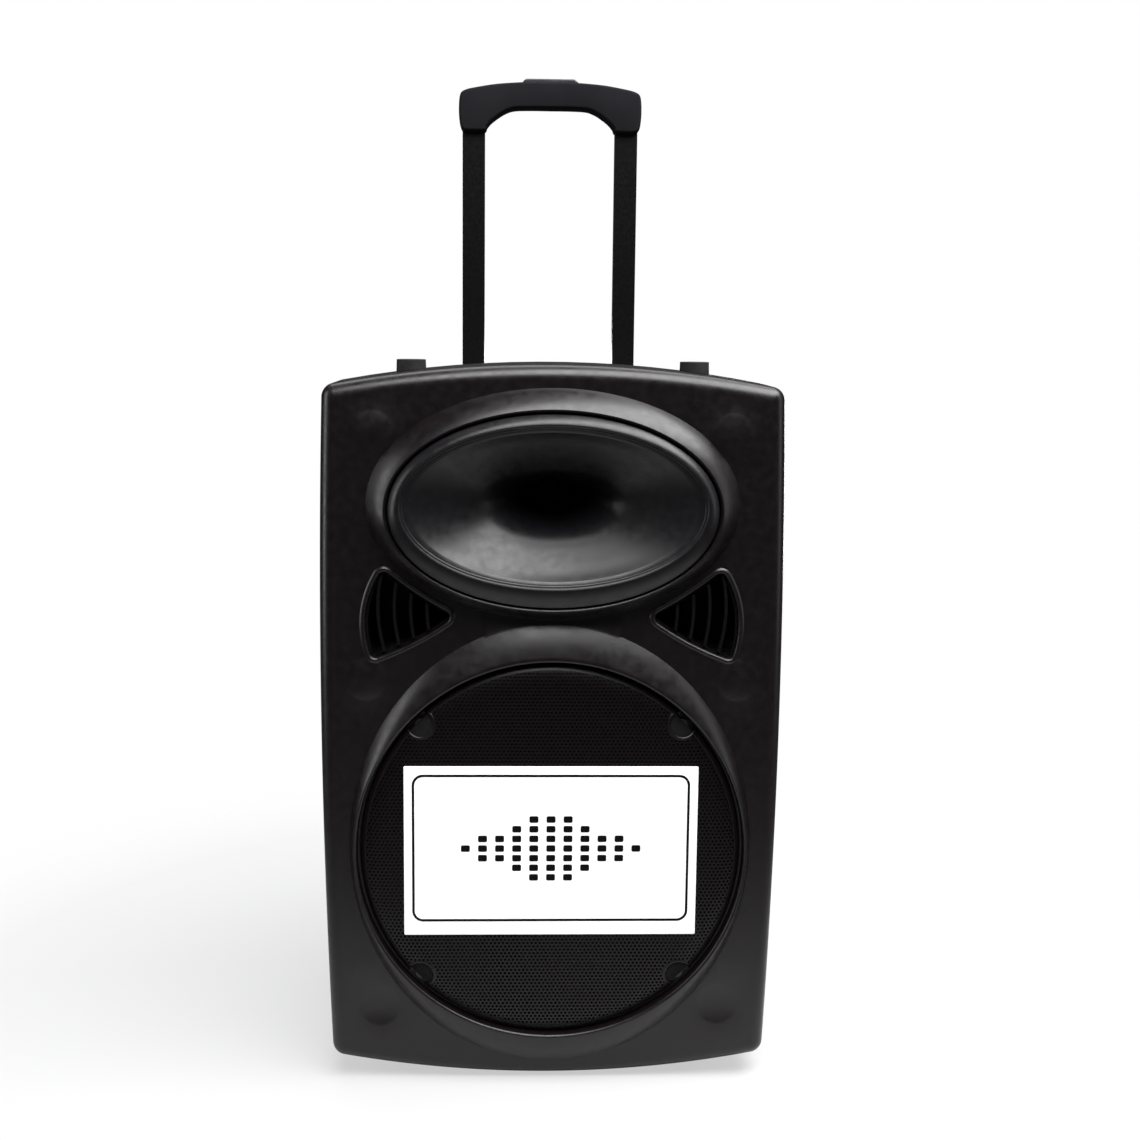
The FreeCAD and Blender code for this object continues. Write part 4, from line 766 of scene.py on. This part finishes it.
def grille_depth(x, z):
    """Depth of the grille's face: flat, then rolled back towards its edge."""
    share = (math.hypot(x, z - WOOFER_LEVEL) - ROLL_START) / (GRILLE_RADIUS - ROLL_START)
    share = min(max(share, 0.0), 1.0)
    return FRONT - GRILLE_RISE + ROLL_DROP * (1 - math.sqrt(1 - share * share))


def is_perforated(x, z):
    """Whether a hole of the grille's pattern shows here: not under rim, notch or badge."""
    if math.hypot(x, z - WOOFER_LEVEL) > GRILLE_RADIUS - 4.5:
        return False
    if BADGE_LOW.x + 5 < x < BADGE_HIGH.x - 5 and BADGE_LOW.z + 5 < z < BADGE_HIGH.z - 5:
        return False
    return all(math.hypot(x - nx, z - nz) > NOTCH_RADIUS + 1 for nx, nz in NOTCHES)


def make_perforated_sheet():
    """The steel sheet, one hexagon round each hole, its holes open from face to back."""
    form = Form()
    index = {}
    cell = HOLE_PITCH / math.sqrt(3)
    row_height = HOLE_PITCH * math.sqrt(3) / 2
    rows = int(GRILLE_RADIUS / row_height) + 1
    turns = [(math.cos(math.pi / 6 + math.pi / 3 * k), math.sin(math.pi / 6 + math.pi / 3 * k))
             for k in range(6)]

    def corner(x, z, back):
        key = (round(x * 50), round(z * 50), back)
        if key not in index:
            index[key] = len(form.points)
            form.points.append((x, grille_depth(x, z) + back * SHEET, z))
        return index[key]

    for row in range(-rows, rows + 1):
        for column in range(-rows, rows + 1):
            x = (column + 0.5 * (row % 2)) * HOLE_PITCH
            z = WOOFER_LEVEL + row * row_height
            if not is_perforated(x, z):
                continue
            outer = [(x + cell * c, z + cell * s) for c, s in turns]
            hole = [(x + HOLE_RADIUS * c, z + HOLE_RADIUS * s) for c, s in turns]
            front_outer = [corner(*p, 0) for p in outer]
            back_outer = [corner(*p, 1) for p in outer]
            front_hole = [corner(*p, 0) for p in hole]
            back_hole = [corner(*p, 1) for p in hole]
            for i in range(6):
                j = (i + 1) % 6
                form.faces.append((front_outer[i], front_outer[j], front_hole[j], front_hole[i]))
                form.faces.append((front_hole[i], front_hole[j], back_hole[j], back_hole[i]))
                form.faces.append((back_outer[j], back_outer[i], back_hole[i], back_hole[j]))
    mesh = bpy.data.meshes.new("woofer_grille_sheet")
    mesh.from_pydata([Vector(p) * MM for p in form.points], [], form.faces)
    smooth_by_angle(mesh, 30)
    stand_in("woofer_grille_sheet", mesh, "woofer_grille")


def make_grille_rim():
    """The folded edge, with a gap where each notch is."""
    form = Form()
    inner, outer = GRILLE_RADIUS - 6.2, GRILLE_RADIUS
    gap = math.degrees(NOTCH_RADIUS / (NOTCH_OFFSET * math.sqrt(2)))
    for quadrant in range(4):
        first, last = 90 * quadrant - 45 + gap, 90 * quadrant + 45 - gap
        loops = []
        for step in range(RIM_STEPS + 1):
            angle = math.radians(first + (last - first) * step / RIM_STEPS)
            section = []
            for radius, lift in ((inner, -0.1), (inner + 0.5, 0.3), (inner + 2.5, 0.35),
                                 (outer - 1.6, 0.3), (outer - 0.5, -0.3), (outer, -1.2)):
                x, z = radius * math.cos(angle), WOOFER_LEVEL + radius * math.sin(angle)
                section.append((x, grille_depth(x, z) - lift, z))
            for radius in (outer, outer - 1.2, inner):
                x, z = radius * math.cos(angle), WOOFER_LEVEL + radius * math.sin(angle)
                section.append((x, max(grille_depth(x, z) + 1.2, FRONT - 0.4)
                                if radius > inner else grille_depth(x, z) + 1.3, z))
            loops.append(form.loop(section))
        form.skin(loops)
    show("woofer_grille_rim", form.mesh("woofer_grille_rim", 40), "grille_steel", "cabinet")


def make_grille_notches():
    """Pressed cups for the screws, open towards the rim."""
    form = Form()
    floor = FRONT - 1.7
    profile = ((NOTCH_RADIUS + 2.6, 0.05, 0), (NOTCH_RADIUS + 2.0, 0.35, 0),
               (NOTCH_RADIUS + 0.8, 0.4, 0), (NOTCH_RADIUS - 0.2, 0.0, 0),
               (NOTCH_RADIUS - 0.7, -0.9, 0), (NOTCH_RADIUS - 1.0, 0, 0.75),
               (NOTCH_RADIUS - 1.6, 0, 1), (6.5, 0, 1), (2.4, 0, 1))
    for notch_x, notch_z in NOTCHES:
        loops = []
        for radius, lift, sunk in profile:
            points = []
            for x, z in circle_outline(notch_x, notch_z, radius, NOTCH_POINTS):
                reach = math.hypot(x, z - WOOFER_LEVEL)
                if reach > GRILLE_RADIUS:
                    x *= GRILLE_RADIUS / reach
                    z = WOOFER_LEVEL + (z - WOOFER_LEVEL) * GRILLE_RADIUS / reach
                face = grille_depth(x, z)
                top = min(face - lift, floor)
                points.append((x, top + (floor - top) * sunk, z))
            loops.append(form.loop(points))
        under = [[(x, y + 0.9, z) for x, y, z in (form.points[i] for i in loop)]
                 for loop in reversed(loops)]
        loops += [form.loop(points) for points in under]
        form.skin(loops + loops[:1], closed=False)
    show("woofer_grille_notches", form.mesh("woofer_grille_notches", 40), "grille_steel",
         "cabinet")


def make_grille_cloth():
    """Black acoustic cloth behind the steel."""
    form = Form()
    loops = []
    radii = [8 + (CLOTH_RADIUS - 8) * i / (CLOTH_RINGS - 1) for i in range(CLOTH_RINGS)]
    for back, order in ((0, radii), (0.6, reversed(radii))):
        for radius in order:
            loops.append(form.loop([(x, min(grille_depth(x, z) + SHEET + 0.5 + back,
                                            FRONT - 1.9 + back), z)
                                    for x, z in circle_outline(0, WOOFER_LEVEL, radius,
                                                               CLOTH_POINTS)]))
    form.skin(loops[:CLOTH_RINGS], closed=False)
    form.skin(loops[CLOTH_RINGS:], closed=False)
    form.skin(loops[CLOTH_RINGS - 1:CLOTH_RINGS + 1], closed=False)
    form.faces.append(tuple(loops[0]))
    form.faces.append(tuple(reversed(loops[-1])))
    show("grille_backing_cloth", form.mesh("grille_backing_cloth"), "grille_steel", "cabinet",
         material=GRILLE_CLOTH)


def rounded_box_outline(low_x, high_x, low_z, high_z, radius, count=10):
    """Closed loop (x, z) of a rectangle with round corners."""
    points = []
    for x, z, start in ((high_x - radius, high_z - radius, 0), (low_x + radius, high_z - radius, 90),
                        (low_x + radius, low_z + radius, 180), (high_x - radius, low_z + radius, 270)):
        for i in range(count + 1):
            angle = math.radians(start + 90 * i / count)
            points.append((x + radius * math.cos(angle), z + radius * math.sin(angle)))
    return points


def tablet(form, outline_at, front, back, rounding=0.4, steps=3):
    """A plate with a rounded front edge. outline_at(inset) gives its loop."""
    loops = [form.slice(outline_at(0), back)]
    for inset, up in quarter(steps):
        loops.append(form.slice(outline_at(rounding * inset), front + rounding * (1 - up)))
    form.skin(loops)


def printed_line(form, outline_at, line, base, top):
    """A closed printed line of the given width that stands from base to top."""
    loops = [form.slice(outline_at(inset), y)
             for y, inset in ((base, 0), (top, 0), (top, line), (base, line))]
    form.skin(loops + loops[:1], closed=False)


def printed_patch(form, outline, base, top):
    """A printed area that stands from base to top."""
    form.skin([form.slice(outline, base), form.slice(outline, top)])


def make_badge():
    """White plate with a thin rounded line and a plain row of equaliser bars."""
    plate = Form()
    low, high = BADGE_LOW, BADGE_HIGH

    def plate_outline(inset):
        return rounded_box_outline(low.x + inset, high.x - inset, low.z + inset,
                                   high.z - inset, 1.2)

    tablet(plate, plate_outline, low.y, high.y)
    stand_in("badge_plate_white", plate.mesh("badge_plate_white"), "badge_plate")

    ink = Form()
    top, base = low.y - 0.12, low.y + 0.05

    def frame_line(inset):
        return rounded_box_outline(low.x + 8 + inset, high.x - 8 - inset, low.z + 14 + inset,
                                   high.z - 8 - inset, 11 - inset)

    printed_line(ink, frame_line, 2.5, base, top)
    middle = (low.z + high.z) / 2 + 3
    bars, pitch, width = 11, 17.0, 9.0
    for bar in range(bars):
        share = math.cos(math.pi * (bar - (bars - 1) / 2) / bars)
        count = 1 + 2 * round(3.4 * share * share)
        for step in range(count):
            x = (bar - (bars - 1) / 2) * pitch
            z = middle + (step - (count - 1) / 2) * 10.0
            tablet(ink, lambda inset: rounded_box_outline(x - width / 2 + inset,
                                                          x + width / 2 - inset,
                                                          z - 3.4 + inset, z + 3.4 - inset,
                                                          1.6, 4), top, base, 0.05, 1)
    add_on("badge_print", ink.mesh("badge_print"), "badge_plate", PRINT_BLACK)


# ---------------------------------------------------------------- control panel

PANEL_FACE = high_mm("amp_panel").y
PRINT_BASE, PRINT_TOP = PANEL_FACE - 0.05, PANEL_FACE + 0.12
KNOBS = ("volume", "bass", "treble", "echo")
KNOB_POINTS, KNOB_FLUTES = 144, 18
KEY_MARKS = {"back": ((-1, -2.6), (-1, 1.0)), "play": ((1, -0.8),), "next": ((1, -1.0), (1, 2.6))}


def turned_bar(x, z, angle, near, far, width):
    """Outline of a thin bar that points away from (x, z), angle in degrees from upright."""
    way = Vector((math.sin(math.radians(angle)), math.cos(math.radians(angle))))
    across = Vector((way.y, -way.x)) * width / 2
    centre = Vector((x, z))
    return [tuple(centre + way * reach + across * side)
            for reach, side in ((near, -1), (far, -1), (far, 1), (near, 1))]


def make_panel_print():
    """White section frames, knob scales and jack rings printed on the panel."""
    ink = Form()
    keys, media = middle_mm("key_play"), high_mm("media_module")
    knobs, jacks = middle_mm("knob_bass"), middle_mm("input_jacks")
    rocker, inlet = middle_mm("power_rocker"), middle_mm("mains_inlet")
    frames = ((0, 66, keys.z - 13, media.z + 8), (0, 76, knobs.z - 27, knobs.z + 24),
              (0, 76, jacks.z - 19, jacks.z + 17), (rocker.x, 16, rocker.z - 20, rocker.z + 20),
              (inlet.x, 32, inlet.z - 23, inlet.z + 23))
    for x, half, low, high in frames:
        def section(inset):
            return rounded_box_outline(x - half + inset, x + half - inset, low + inset,
                                       high - inset, 4, 6)

        printed_line(ink, section, 0.7, PRINT_BASE, PRINT_TOP)
    for name in KNOBS:
        centre = middle_mm(f"knob_{name}")
        for step in range(11):
            far = 15.6 if step % 5 == 0 else 14.4
            printed_patch(ink, turned_bar(centre.x, centre.z, -140 + 28 * step, 12.4, far, 0.8),
                          PRINT_BASE, PRINT_TOP)
        for step in range(5):
            x = centre.x - (step - 2) * 4.0
            printed_patch(ink, rounded_box_outline(x - 1, x + 1, centre.z - 22.5,
                                                   centre.z - 21.5 + 0.8 * step, 0.4, 3),
                          PRINT_BASE, PRINT_TOP)
    for side in (-1, 0, 1):
        x = side * (high_mm("input_jacks").x - jack_radius())
        printed_line(ink, lambda inset: circle_outline(x, jacks.z, 12.5 - inset), 0.7,
                     PRINT_BASE, PRINT_TOP)
    add_on("panel_print", ink.mesh("panel_print"), "amp_panel", PRINT_WHITE)


def jack_radius():
    """Half the height of the row of jacks."""
    return (high_mm("input_jacks").z - low_mm("input_jacks").z) / 2


def make_knobs():
    """Fluted knobs with a white pointer, each turning with its own body."""
    for name in KNOBS:
        node = f"knob_{name}"
        low, high, centre = box_mm(node)
        radius = (high.x - low.x) / 2

        def fluted(inset, flute, y):
            points = []
            for i in range(KNOB_POINTS):
                angle = math.tau * i / KNOB_POINTS
                wave = 0.5 - 0.5 * math.cos(KNOB_FLUTES * angle)
                reach = radius - inset - flute * wave ** 2
                points.append((centre.x + reach * math.cos(angle), y,
                               centre.z + reach * math.sin(angle)))
            return points

        form = Form()
        rings = [(radius - 3, 0, low.y), (radius - 3, 0, PANEL_FACE + 0.8),
                 (0.3, 0, PANEL_FACE + 0.8), (0, 0, PANEL_FACE + 1.1), (0, 0, PANEL_FACE + 2.2),
                 (0.9, 0, PANEL_FACE + 2.6), (1.0, 0.9, PANEL_FACE + 3.1)]
        rings += [(1.2 + 1.1 * inset, 0.9 * (1 - inset), high.y - 1.1 + 1.1 * up)
                  for inset, up in quarter(4)]
        rings += [(3.0, 0, high.y), (3.6, 0, high.y - 0.4)]
        form.skin([form.loop(fluted(*ring)) for ring in rings])
        stand_in(f"{node}_fluted", form.mesh(f"{node}_fluted"), node)
        pointer = Form()
        printed_patch(pointer, turned_bar(centre.x, centre.z, 0, radius - 5.6, radius - 1.4, 1.1),
                      high.y - 0.5, high.y + 0.08)
        add_on(f"{node}_pointer", pointer.mesh(f"{node}_pointer"), node, PRINT_WHITE)


def make_key_marks():
    """Arrows printed on the media keys, pointing the way they skip when seen from behind."""
    for name, arrows in KEY_MARKS.items():
        node = f"key_{name}"
        centre, face = middle_mm(node), high_mm(node).y
        mark = Form()
        for way, offset in arrows:
            x, point = centre.x - offset, -1.8 * way
            printed_patch(mark, [(x - point, centre.z - 1.9), (x - point, centre.z + 1.9),
                                 (x + point, centre.z)], face - 0.05, face + 0.1)
        add_on(f"{node}_mark", mark.mesh(f"{node}_mark"), node, PRINT_WHITE)


# ---------------------------------------------------------------- tyres and grip

def make_tyres():
    """Rubber tyres with shoulders and a zigzag of shallow tread grooves."""
    profile = ((-1, 0.0), (-1, 0.55), (-0.9, 0.86), (-0.72, 0.98), (-0.4, 1.0), (-0.12, 1.0),
               (0.12, 1.0), (0.4, 1.0), (0.72, 0.98), (0.9, 0.86), (1, 0.55), (1, 0.0),
               (0.86, -0.12), (-0.86, -0.12))
    count, grooves, groove = 216, 36, 1.3
    for side in ("left", "right"):
        node = f"wheel_tyre_{side}"
        low, high, centre = box_mm(node)
        half, outer = (high.x - low.x) / 2, (high.z - low.z) / 2
        inner = (high_mm(f"wheel_hub_{side}").z - low_mm(f"wheel_hub_{side}").z) / 2
        form = Form()
        loops = []
        for i in range(count):
            angle = math.tau * i / count
            points = []
            for across, out in profile:
                shift = 0.5 if across < 0 else 0.0
                phase = (angle * grooves / math.tau + shift + 0.25 * abs(across)) % 1
                cut = groove if out > 0.8 and abs(across) > 0.2 and phase < 0.3 else 0.0
                reach = inner + (outer - inner) * out - cut
                points.append((centre.x + across * half, centre.y + reach * math.cos(angle),
                               centre.z + reach * math.sin(angle)))
            loops.append(form.loop(points))
        form.skin(loops + loops[:1], closed=False)
        stand_in(f"{node}_treaded", form.mesh(f"{node}_treaded", 24), node)


def shrunk(points, inset):
    """The closed loop (x, z), given anticlockwise, moved inward by inset."""
    moved = []
    for i, point in enumerate(points):
        before, after = Vector(points[i - 1]), Vector(points[(i + 1) % len(points)])
        along = (after - before).normalized()
        moved.append((point[0] - along.y * inset, point[1] + along.x * inset))
    return moved


def make_grip():
    """Moulded grip: two collars on the tubes, an arched bar and well rounded edges."""
    low, high = low_mm("handle_grip"), high_mm("handle_grip")
    half, top, foot = high.x, high.z, low.z + 0.4
    keys = [(0, top - 29), (22, top - 29), (40, top - 29.8), (50, top - 33), (59, top - 38.5),
            (66, top - 44), (70, top - 48.6), (70.8, foot + 4.6), (72, foot + 1.6), (75, foot + 0.2),
            (82, foot), (92, foot), (97, foot + 1), (99.6, foot + 3.8), (101, foot + 9), (half, foot + 20),
            (half - 0.3, top - 21), (half - 2.2, top - 13), (half - 8, top - 9.2),
            (82, top - 6.4), (60, top - 2.8), (34, top - 0.7), (16, top)]
    keys += [(-x, z) for x, z in reversed(keys[1:])]
    outline = [tuple(point) for point in curve_through(keys + keys[:1], 5)][:-1]
    form = Form()
    loops, depth_round, edge_round = [], 7.0, 3.2
    for back, way in ((high.y, 1), (low.y, -1)):
        rounds = list(quarter(6))
        for inset, up in (reversed(rounds) if way > 0 else rounds):
            loops.append(form.slice(shrunk(outline, edge_round * inset),
                                    back - way * depth_round * (1 - up)))
    form.skin(loops, closed=False)
    cap = shrunk(outline, edge_round)
    for y in (low.y, high.y):
        flat_fill(form, [cap], lambda x, z: within(cap, x, z), lambda x, z: y)
    stand_in("handle_grip_moulded", form.mesh("handle_grip_moulded", 40), "handle_grip")


def make_release_springs():
    """Two coil springs under the release bar."""
    low, high, centre = box_mm("release_spring")
    radius, wire, turns, steps = (high.y - low.y) / 2, 0.38, 3, 24
    length, button_travel = high.z - low.z, 4.2
    form = Form()
    for side in (-1, 1):
        loops = []
        for step in range(turns * steps + 1):
            angle = math.tau * step / steps
            outward = Vector((math.cos(angle), math.sin(angle), 0))
            core = Vector((side * (high.x - radius), centre.y, low.z + wire)) + outward * (radius - wire)
            core.z += (length - 2 * wire) * step / (turns * steps)
            loops.append(form.loop([
                tuple(core + wire * (outward * math.cos(a) + Vector((0, 0, math.sin(a)))))
                for a in (math.tau * corner / 8 for corner in range(8))]))
        form.skin(loops)
    springs = stand_in("release_springs_coiled", form.mesh("release_springs_coiled", 50),
                       "release_spring")
    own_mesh(springs)


# ---------------------------------------------------------------- pieces kept close to the CAD

def make_softened():
    """Rounds the edges of the CAD pieces, by millimetres, and finishes those left as they are."""
    widths = {
        "rear_shell": 1.2, "side_cup_left": 0.8, "side_cup_right": 0.8, "handle_bezel": 0.8,
        "feet_bottom": 1.2, "feet_top": 0.8, "cabinet_screws": 0.25, "grille_screws": 0.3,
        "vent_louvre_left": 0.4, "vent_louvre_right": 0.4, "port_duct_left": 0.3,
        "port_duct_right": 0.3, "handle_tube_left": 2.2,
        "handle_tube_right": 2.2, "guide_tube_left": 0.8, "guide_tube_right": 0.8,
        "release_button": 1.2, "wheel_axle": 0.6, "pole_socket": 0.6, "amp_panel": 0.4,
        "panel_screws": 0.25, "input_jacks": 0.3, "mains_inlet": 0.4, "media_module": 0.4,
        "heat_sink": 0.3, "power_rocker": 0.6,
    }
    for side in ("left", "right"):
        widths[f"wheel_hub_{side}"] = 0.5
    for name in KEY_MARKS:
        widths[f"key_{name}"] = 0.3
    for node, width in widths.items():
        # The louvres take the painted-shade copy of the trim plastic, darker than their own slot's finish.
        soften(node, width, material=VENT_PAINTED_SHADE if "louvre" in node else None)
    for node, piece in frame["nodes"].items():
        if not piece.hide_render:
            piece.data.materials.clear()
            piece.data.materials.append(MATERIALS[SLOTS[node]])


# ---------------------------------------------------------------- studio

FLOOR_HALF = 2400
FLOOR_NEAR, FLOOR_FAR = 0.35, 1.0
FLOOR_GLOW, FLOOR_VEIL = 0.12, 0.55


def make_floor():
    """A pale floor that runs out into the white of the studio away from the speaker."""
    form = Form()
    half = FLOOR_HALF
    form.loop([(-half, -half, 0), (half, -half, 0), (half, half, 0), (-half, half, 0)])
    form.faces.append((0, 1, 2, 3))
    floor = bpy.data.objects.new("studio_floor", form.mesh("studio_floor"))
    bpy.context.scene.collection.objects.link(floor)
    finish = Finish("studio_floor", (0.5, 0.5, 0.505), 0.7, specular=0.1)
    finish.tint(finish.noise(900, 2), (0.52, 0.52, 0.52))
    distance = finish.add("VectorMath", {}, Vector=finish.position)
    distance.operation = "LENGTH"
    reach = {"From Min": FLOOR_NEAR, "From Max": FLOOR_FAR}
    away = finish.add("MapRange", reach, Value=distance.outputs["Value"])
    away.interpolation_type = "SMOOTHSTEP"
    camera_ray = finish.add("LightPath", {}).outputs["Is Camera Ray"]
    strength = finish.add("MapRange", {"To Min": FLOOR_GLOW, "To Max": 1.0}, Value=camera_ray)
    glow = finish.add("Emission", {}, Strength=strength.outputs["Result"])
    veil = finish.add("Math", {1: FLOOR_VEIL}, Value=camera_ray)
    veil.operation = "MULTIPLY"
    share = finish.add("Math", {}, Value=veil.outputs["Value"])
    share.operation = "MAXIMUM"
    finish.links.new(away.outputs["Result"], share.inputs[1])
    mix = finish.add("MixShader", {}, Fac=share.outputs["Value"])
    finish.links.new(finish.shader.outputs["BSDF"], mix.inputs[1])
    finish.links.new(glow.outputs["Emission"], mix.inputs[2])
    finish.links.new(mix.outputs["Shader"], finish.nodes["Material Output"].inputs["Surface"])
    floor.data.materials.append(finish.material)


def softbox(name, place, target, size, power):
    """A rectangular lamp of size (metres) at place, turned towards target."""
    lamp = bpy.data.lights.new(name, "AREA")
    lamp.shape = "RECTANGLE"
    lamp.size, lamp.size_y = size
    lamp.energy = power
    holder = bpy.data.objects.new(name, lamp)
    holder.location = place
    direction = Vector(target) - Vector(place)
    holder.rotation_mode = "QUATERNION"
    holder.rotation_quaternion = direction.to_track_quat("-Z", "Y")
    bpy.context.scene.collection.objects.link(holder)


def make_lights():
    """Five lamps, a dim fill and a backdrop that only the camera sees as white."""
    softbox("top_box", (0.66, -0.85, 2.4), (0, -0.1, 0.45), (3.25, 1.3), 170)
    softbox("back_box", (0, 0.9, 2.6), (0, 0, 0.5), (2.4, 0.8), 30)
    softbox("rear_box", (0.5, 2.6, 0.4), (0, 0.1, 0.35), (1.8, 0.6), 40)
    softbox("left_box", (-2.4, -0.5, 1.0), (0, -0.1, 0.4), (0.9, 2.0), 24)
    softbox("right_box", (2.4, -0.5, 1.0), (0, -0.1, 0.4), (0.9, 2.0), 8)
    world = bpy.data.worlds.new("studio")
    world.use_nodes = True
    nodes, links = world.node_tree.nodes, world.node_tree.links
    seen, fill = nodes["Background"], nodes.new("ShaderNodeBackground")
    seen.inputs["Color"].default_value = (1, 1, 1, 1)
    seen.inputs["Strength"].default_value = 1.0
    fill.inputs["Color"].default_value = (0.9, 0.95, 1, 1)
    fill.inputs["Strength"].default_value = 0.05
    path, mix = nodes.new("ShaderNodeLightPath"), nodes.new("ShaderNodeMixShader")
    links.new(path.outputs["Is Camera Ray"], mix.inputs["Fac"])
    links.new(fill.outputs["Background"], mix.inputs[1])
    links.new(seen.outputs["Background"], mix.inputs[2])
    links.new(mix.outputs["Shader"], nodes["World Output"].inputs["Surface"])
    bpy.context.scene.world = world
    bpy.context.scene.view_settings.view_transform = "Standard"


LENS, SENSOR = 50.0, 36.0
PITCH = math.radians(9.0)
ROLL = math.radians(0.62)
CAMERA_DISTANCE = 1.5463
AIM_LEVEL = 0.5303
AIM_SIDE, CAMERA_SIDE = 0.0166, -0.039


def make_camera():
    """The photograph's viewpoint, a little above the horn and slightly rolled."""
    data = bpy.data.cameras.new("camera")
    data.lens, data.sensor_width = LENS, SENSOR
    camera = bpy.data.objects.new("camera", data)
    bpy.context.scene.collection.objects.link(camera)
    aim = Vector((AIM_SIDE, FRONT * MM, AIM_LEVEL))
    camera.location = Vector((CAMERA_SIDE, aim.y - CAMERA_DISTANCE * math.cos(PITCH),
                              AIM_LEVEL + CAMERA_DISTANCE * math.sin(PITCH)))
    look = (aim - camera.location).to_track_quat("-Z", "Y")
    camera.rotation_mode = "QUATERNION"
    camera.rotation_quaternion = look @ Quaternion((0, 0, 1), ROLL)
    bpy.context.scene.camera = camera


make_camera()
make_lights()
make_floor()
make_baffle()
make_horn()
make_perforated_sheet()
make_grille_rim()
make_grille_notches()
make_grille_cloth()
make_badge()
make_panel_print()
make_knobs()
make_key_marks()
make_tyres()
make_grip()
make_release_springs()
make_softened()
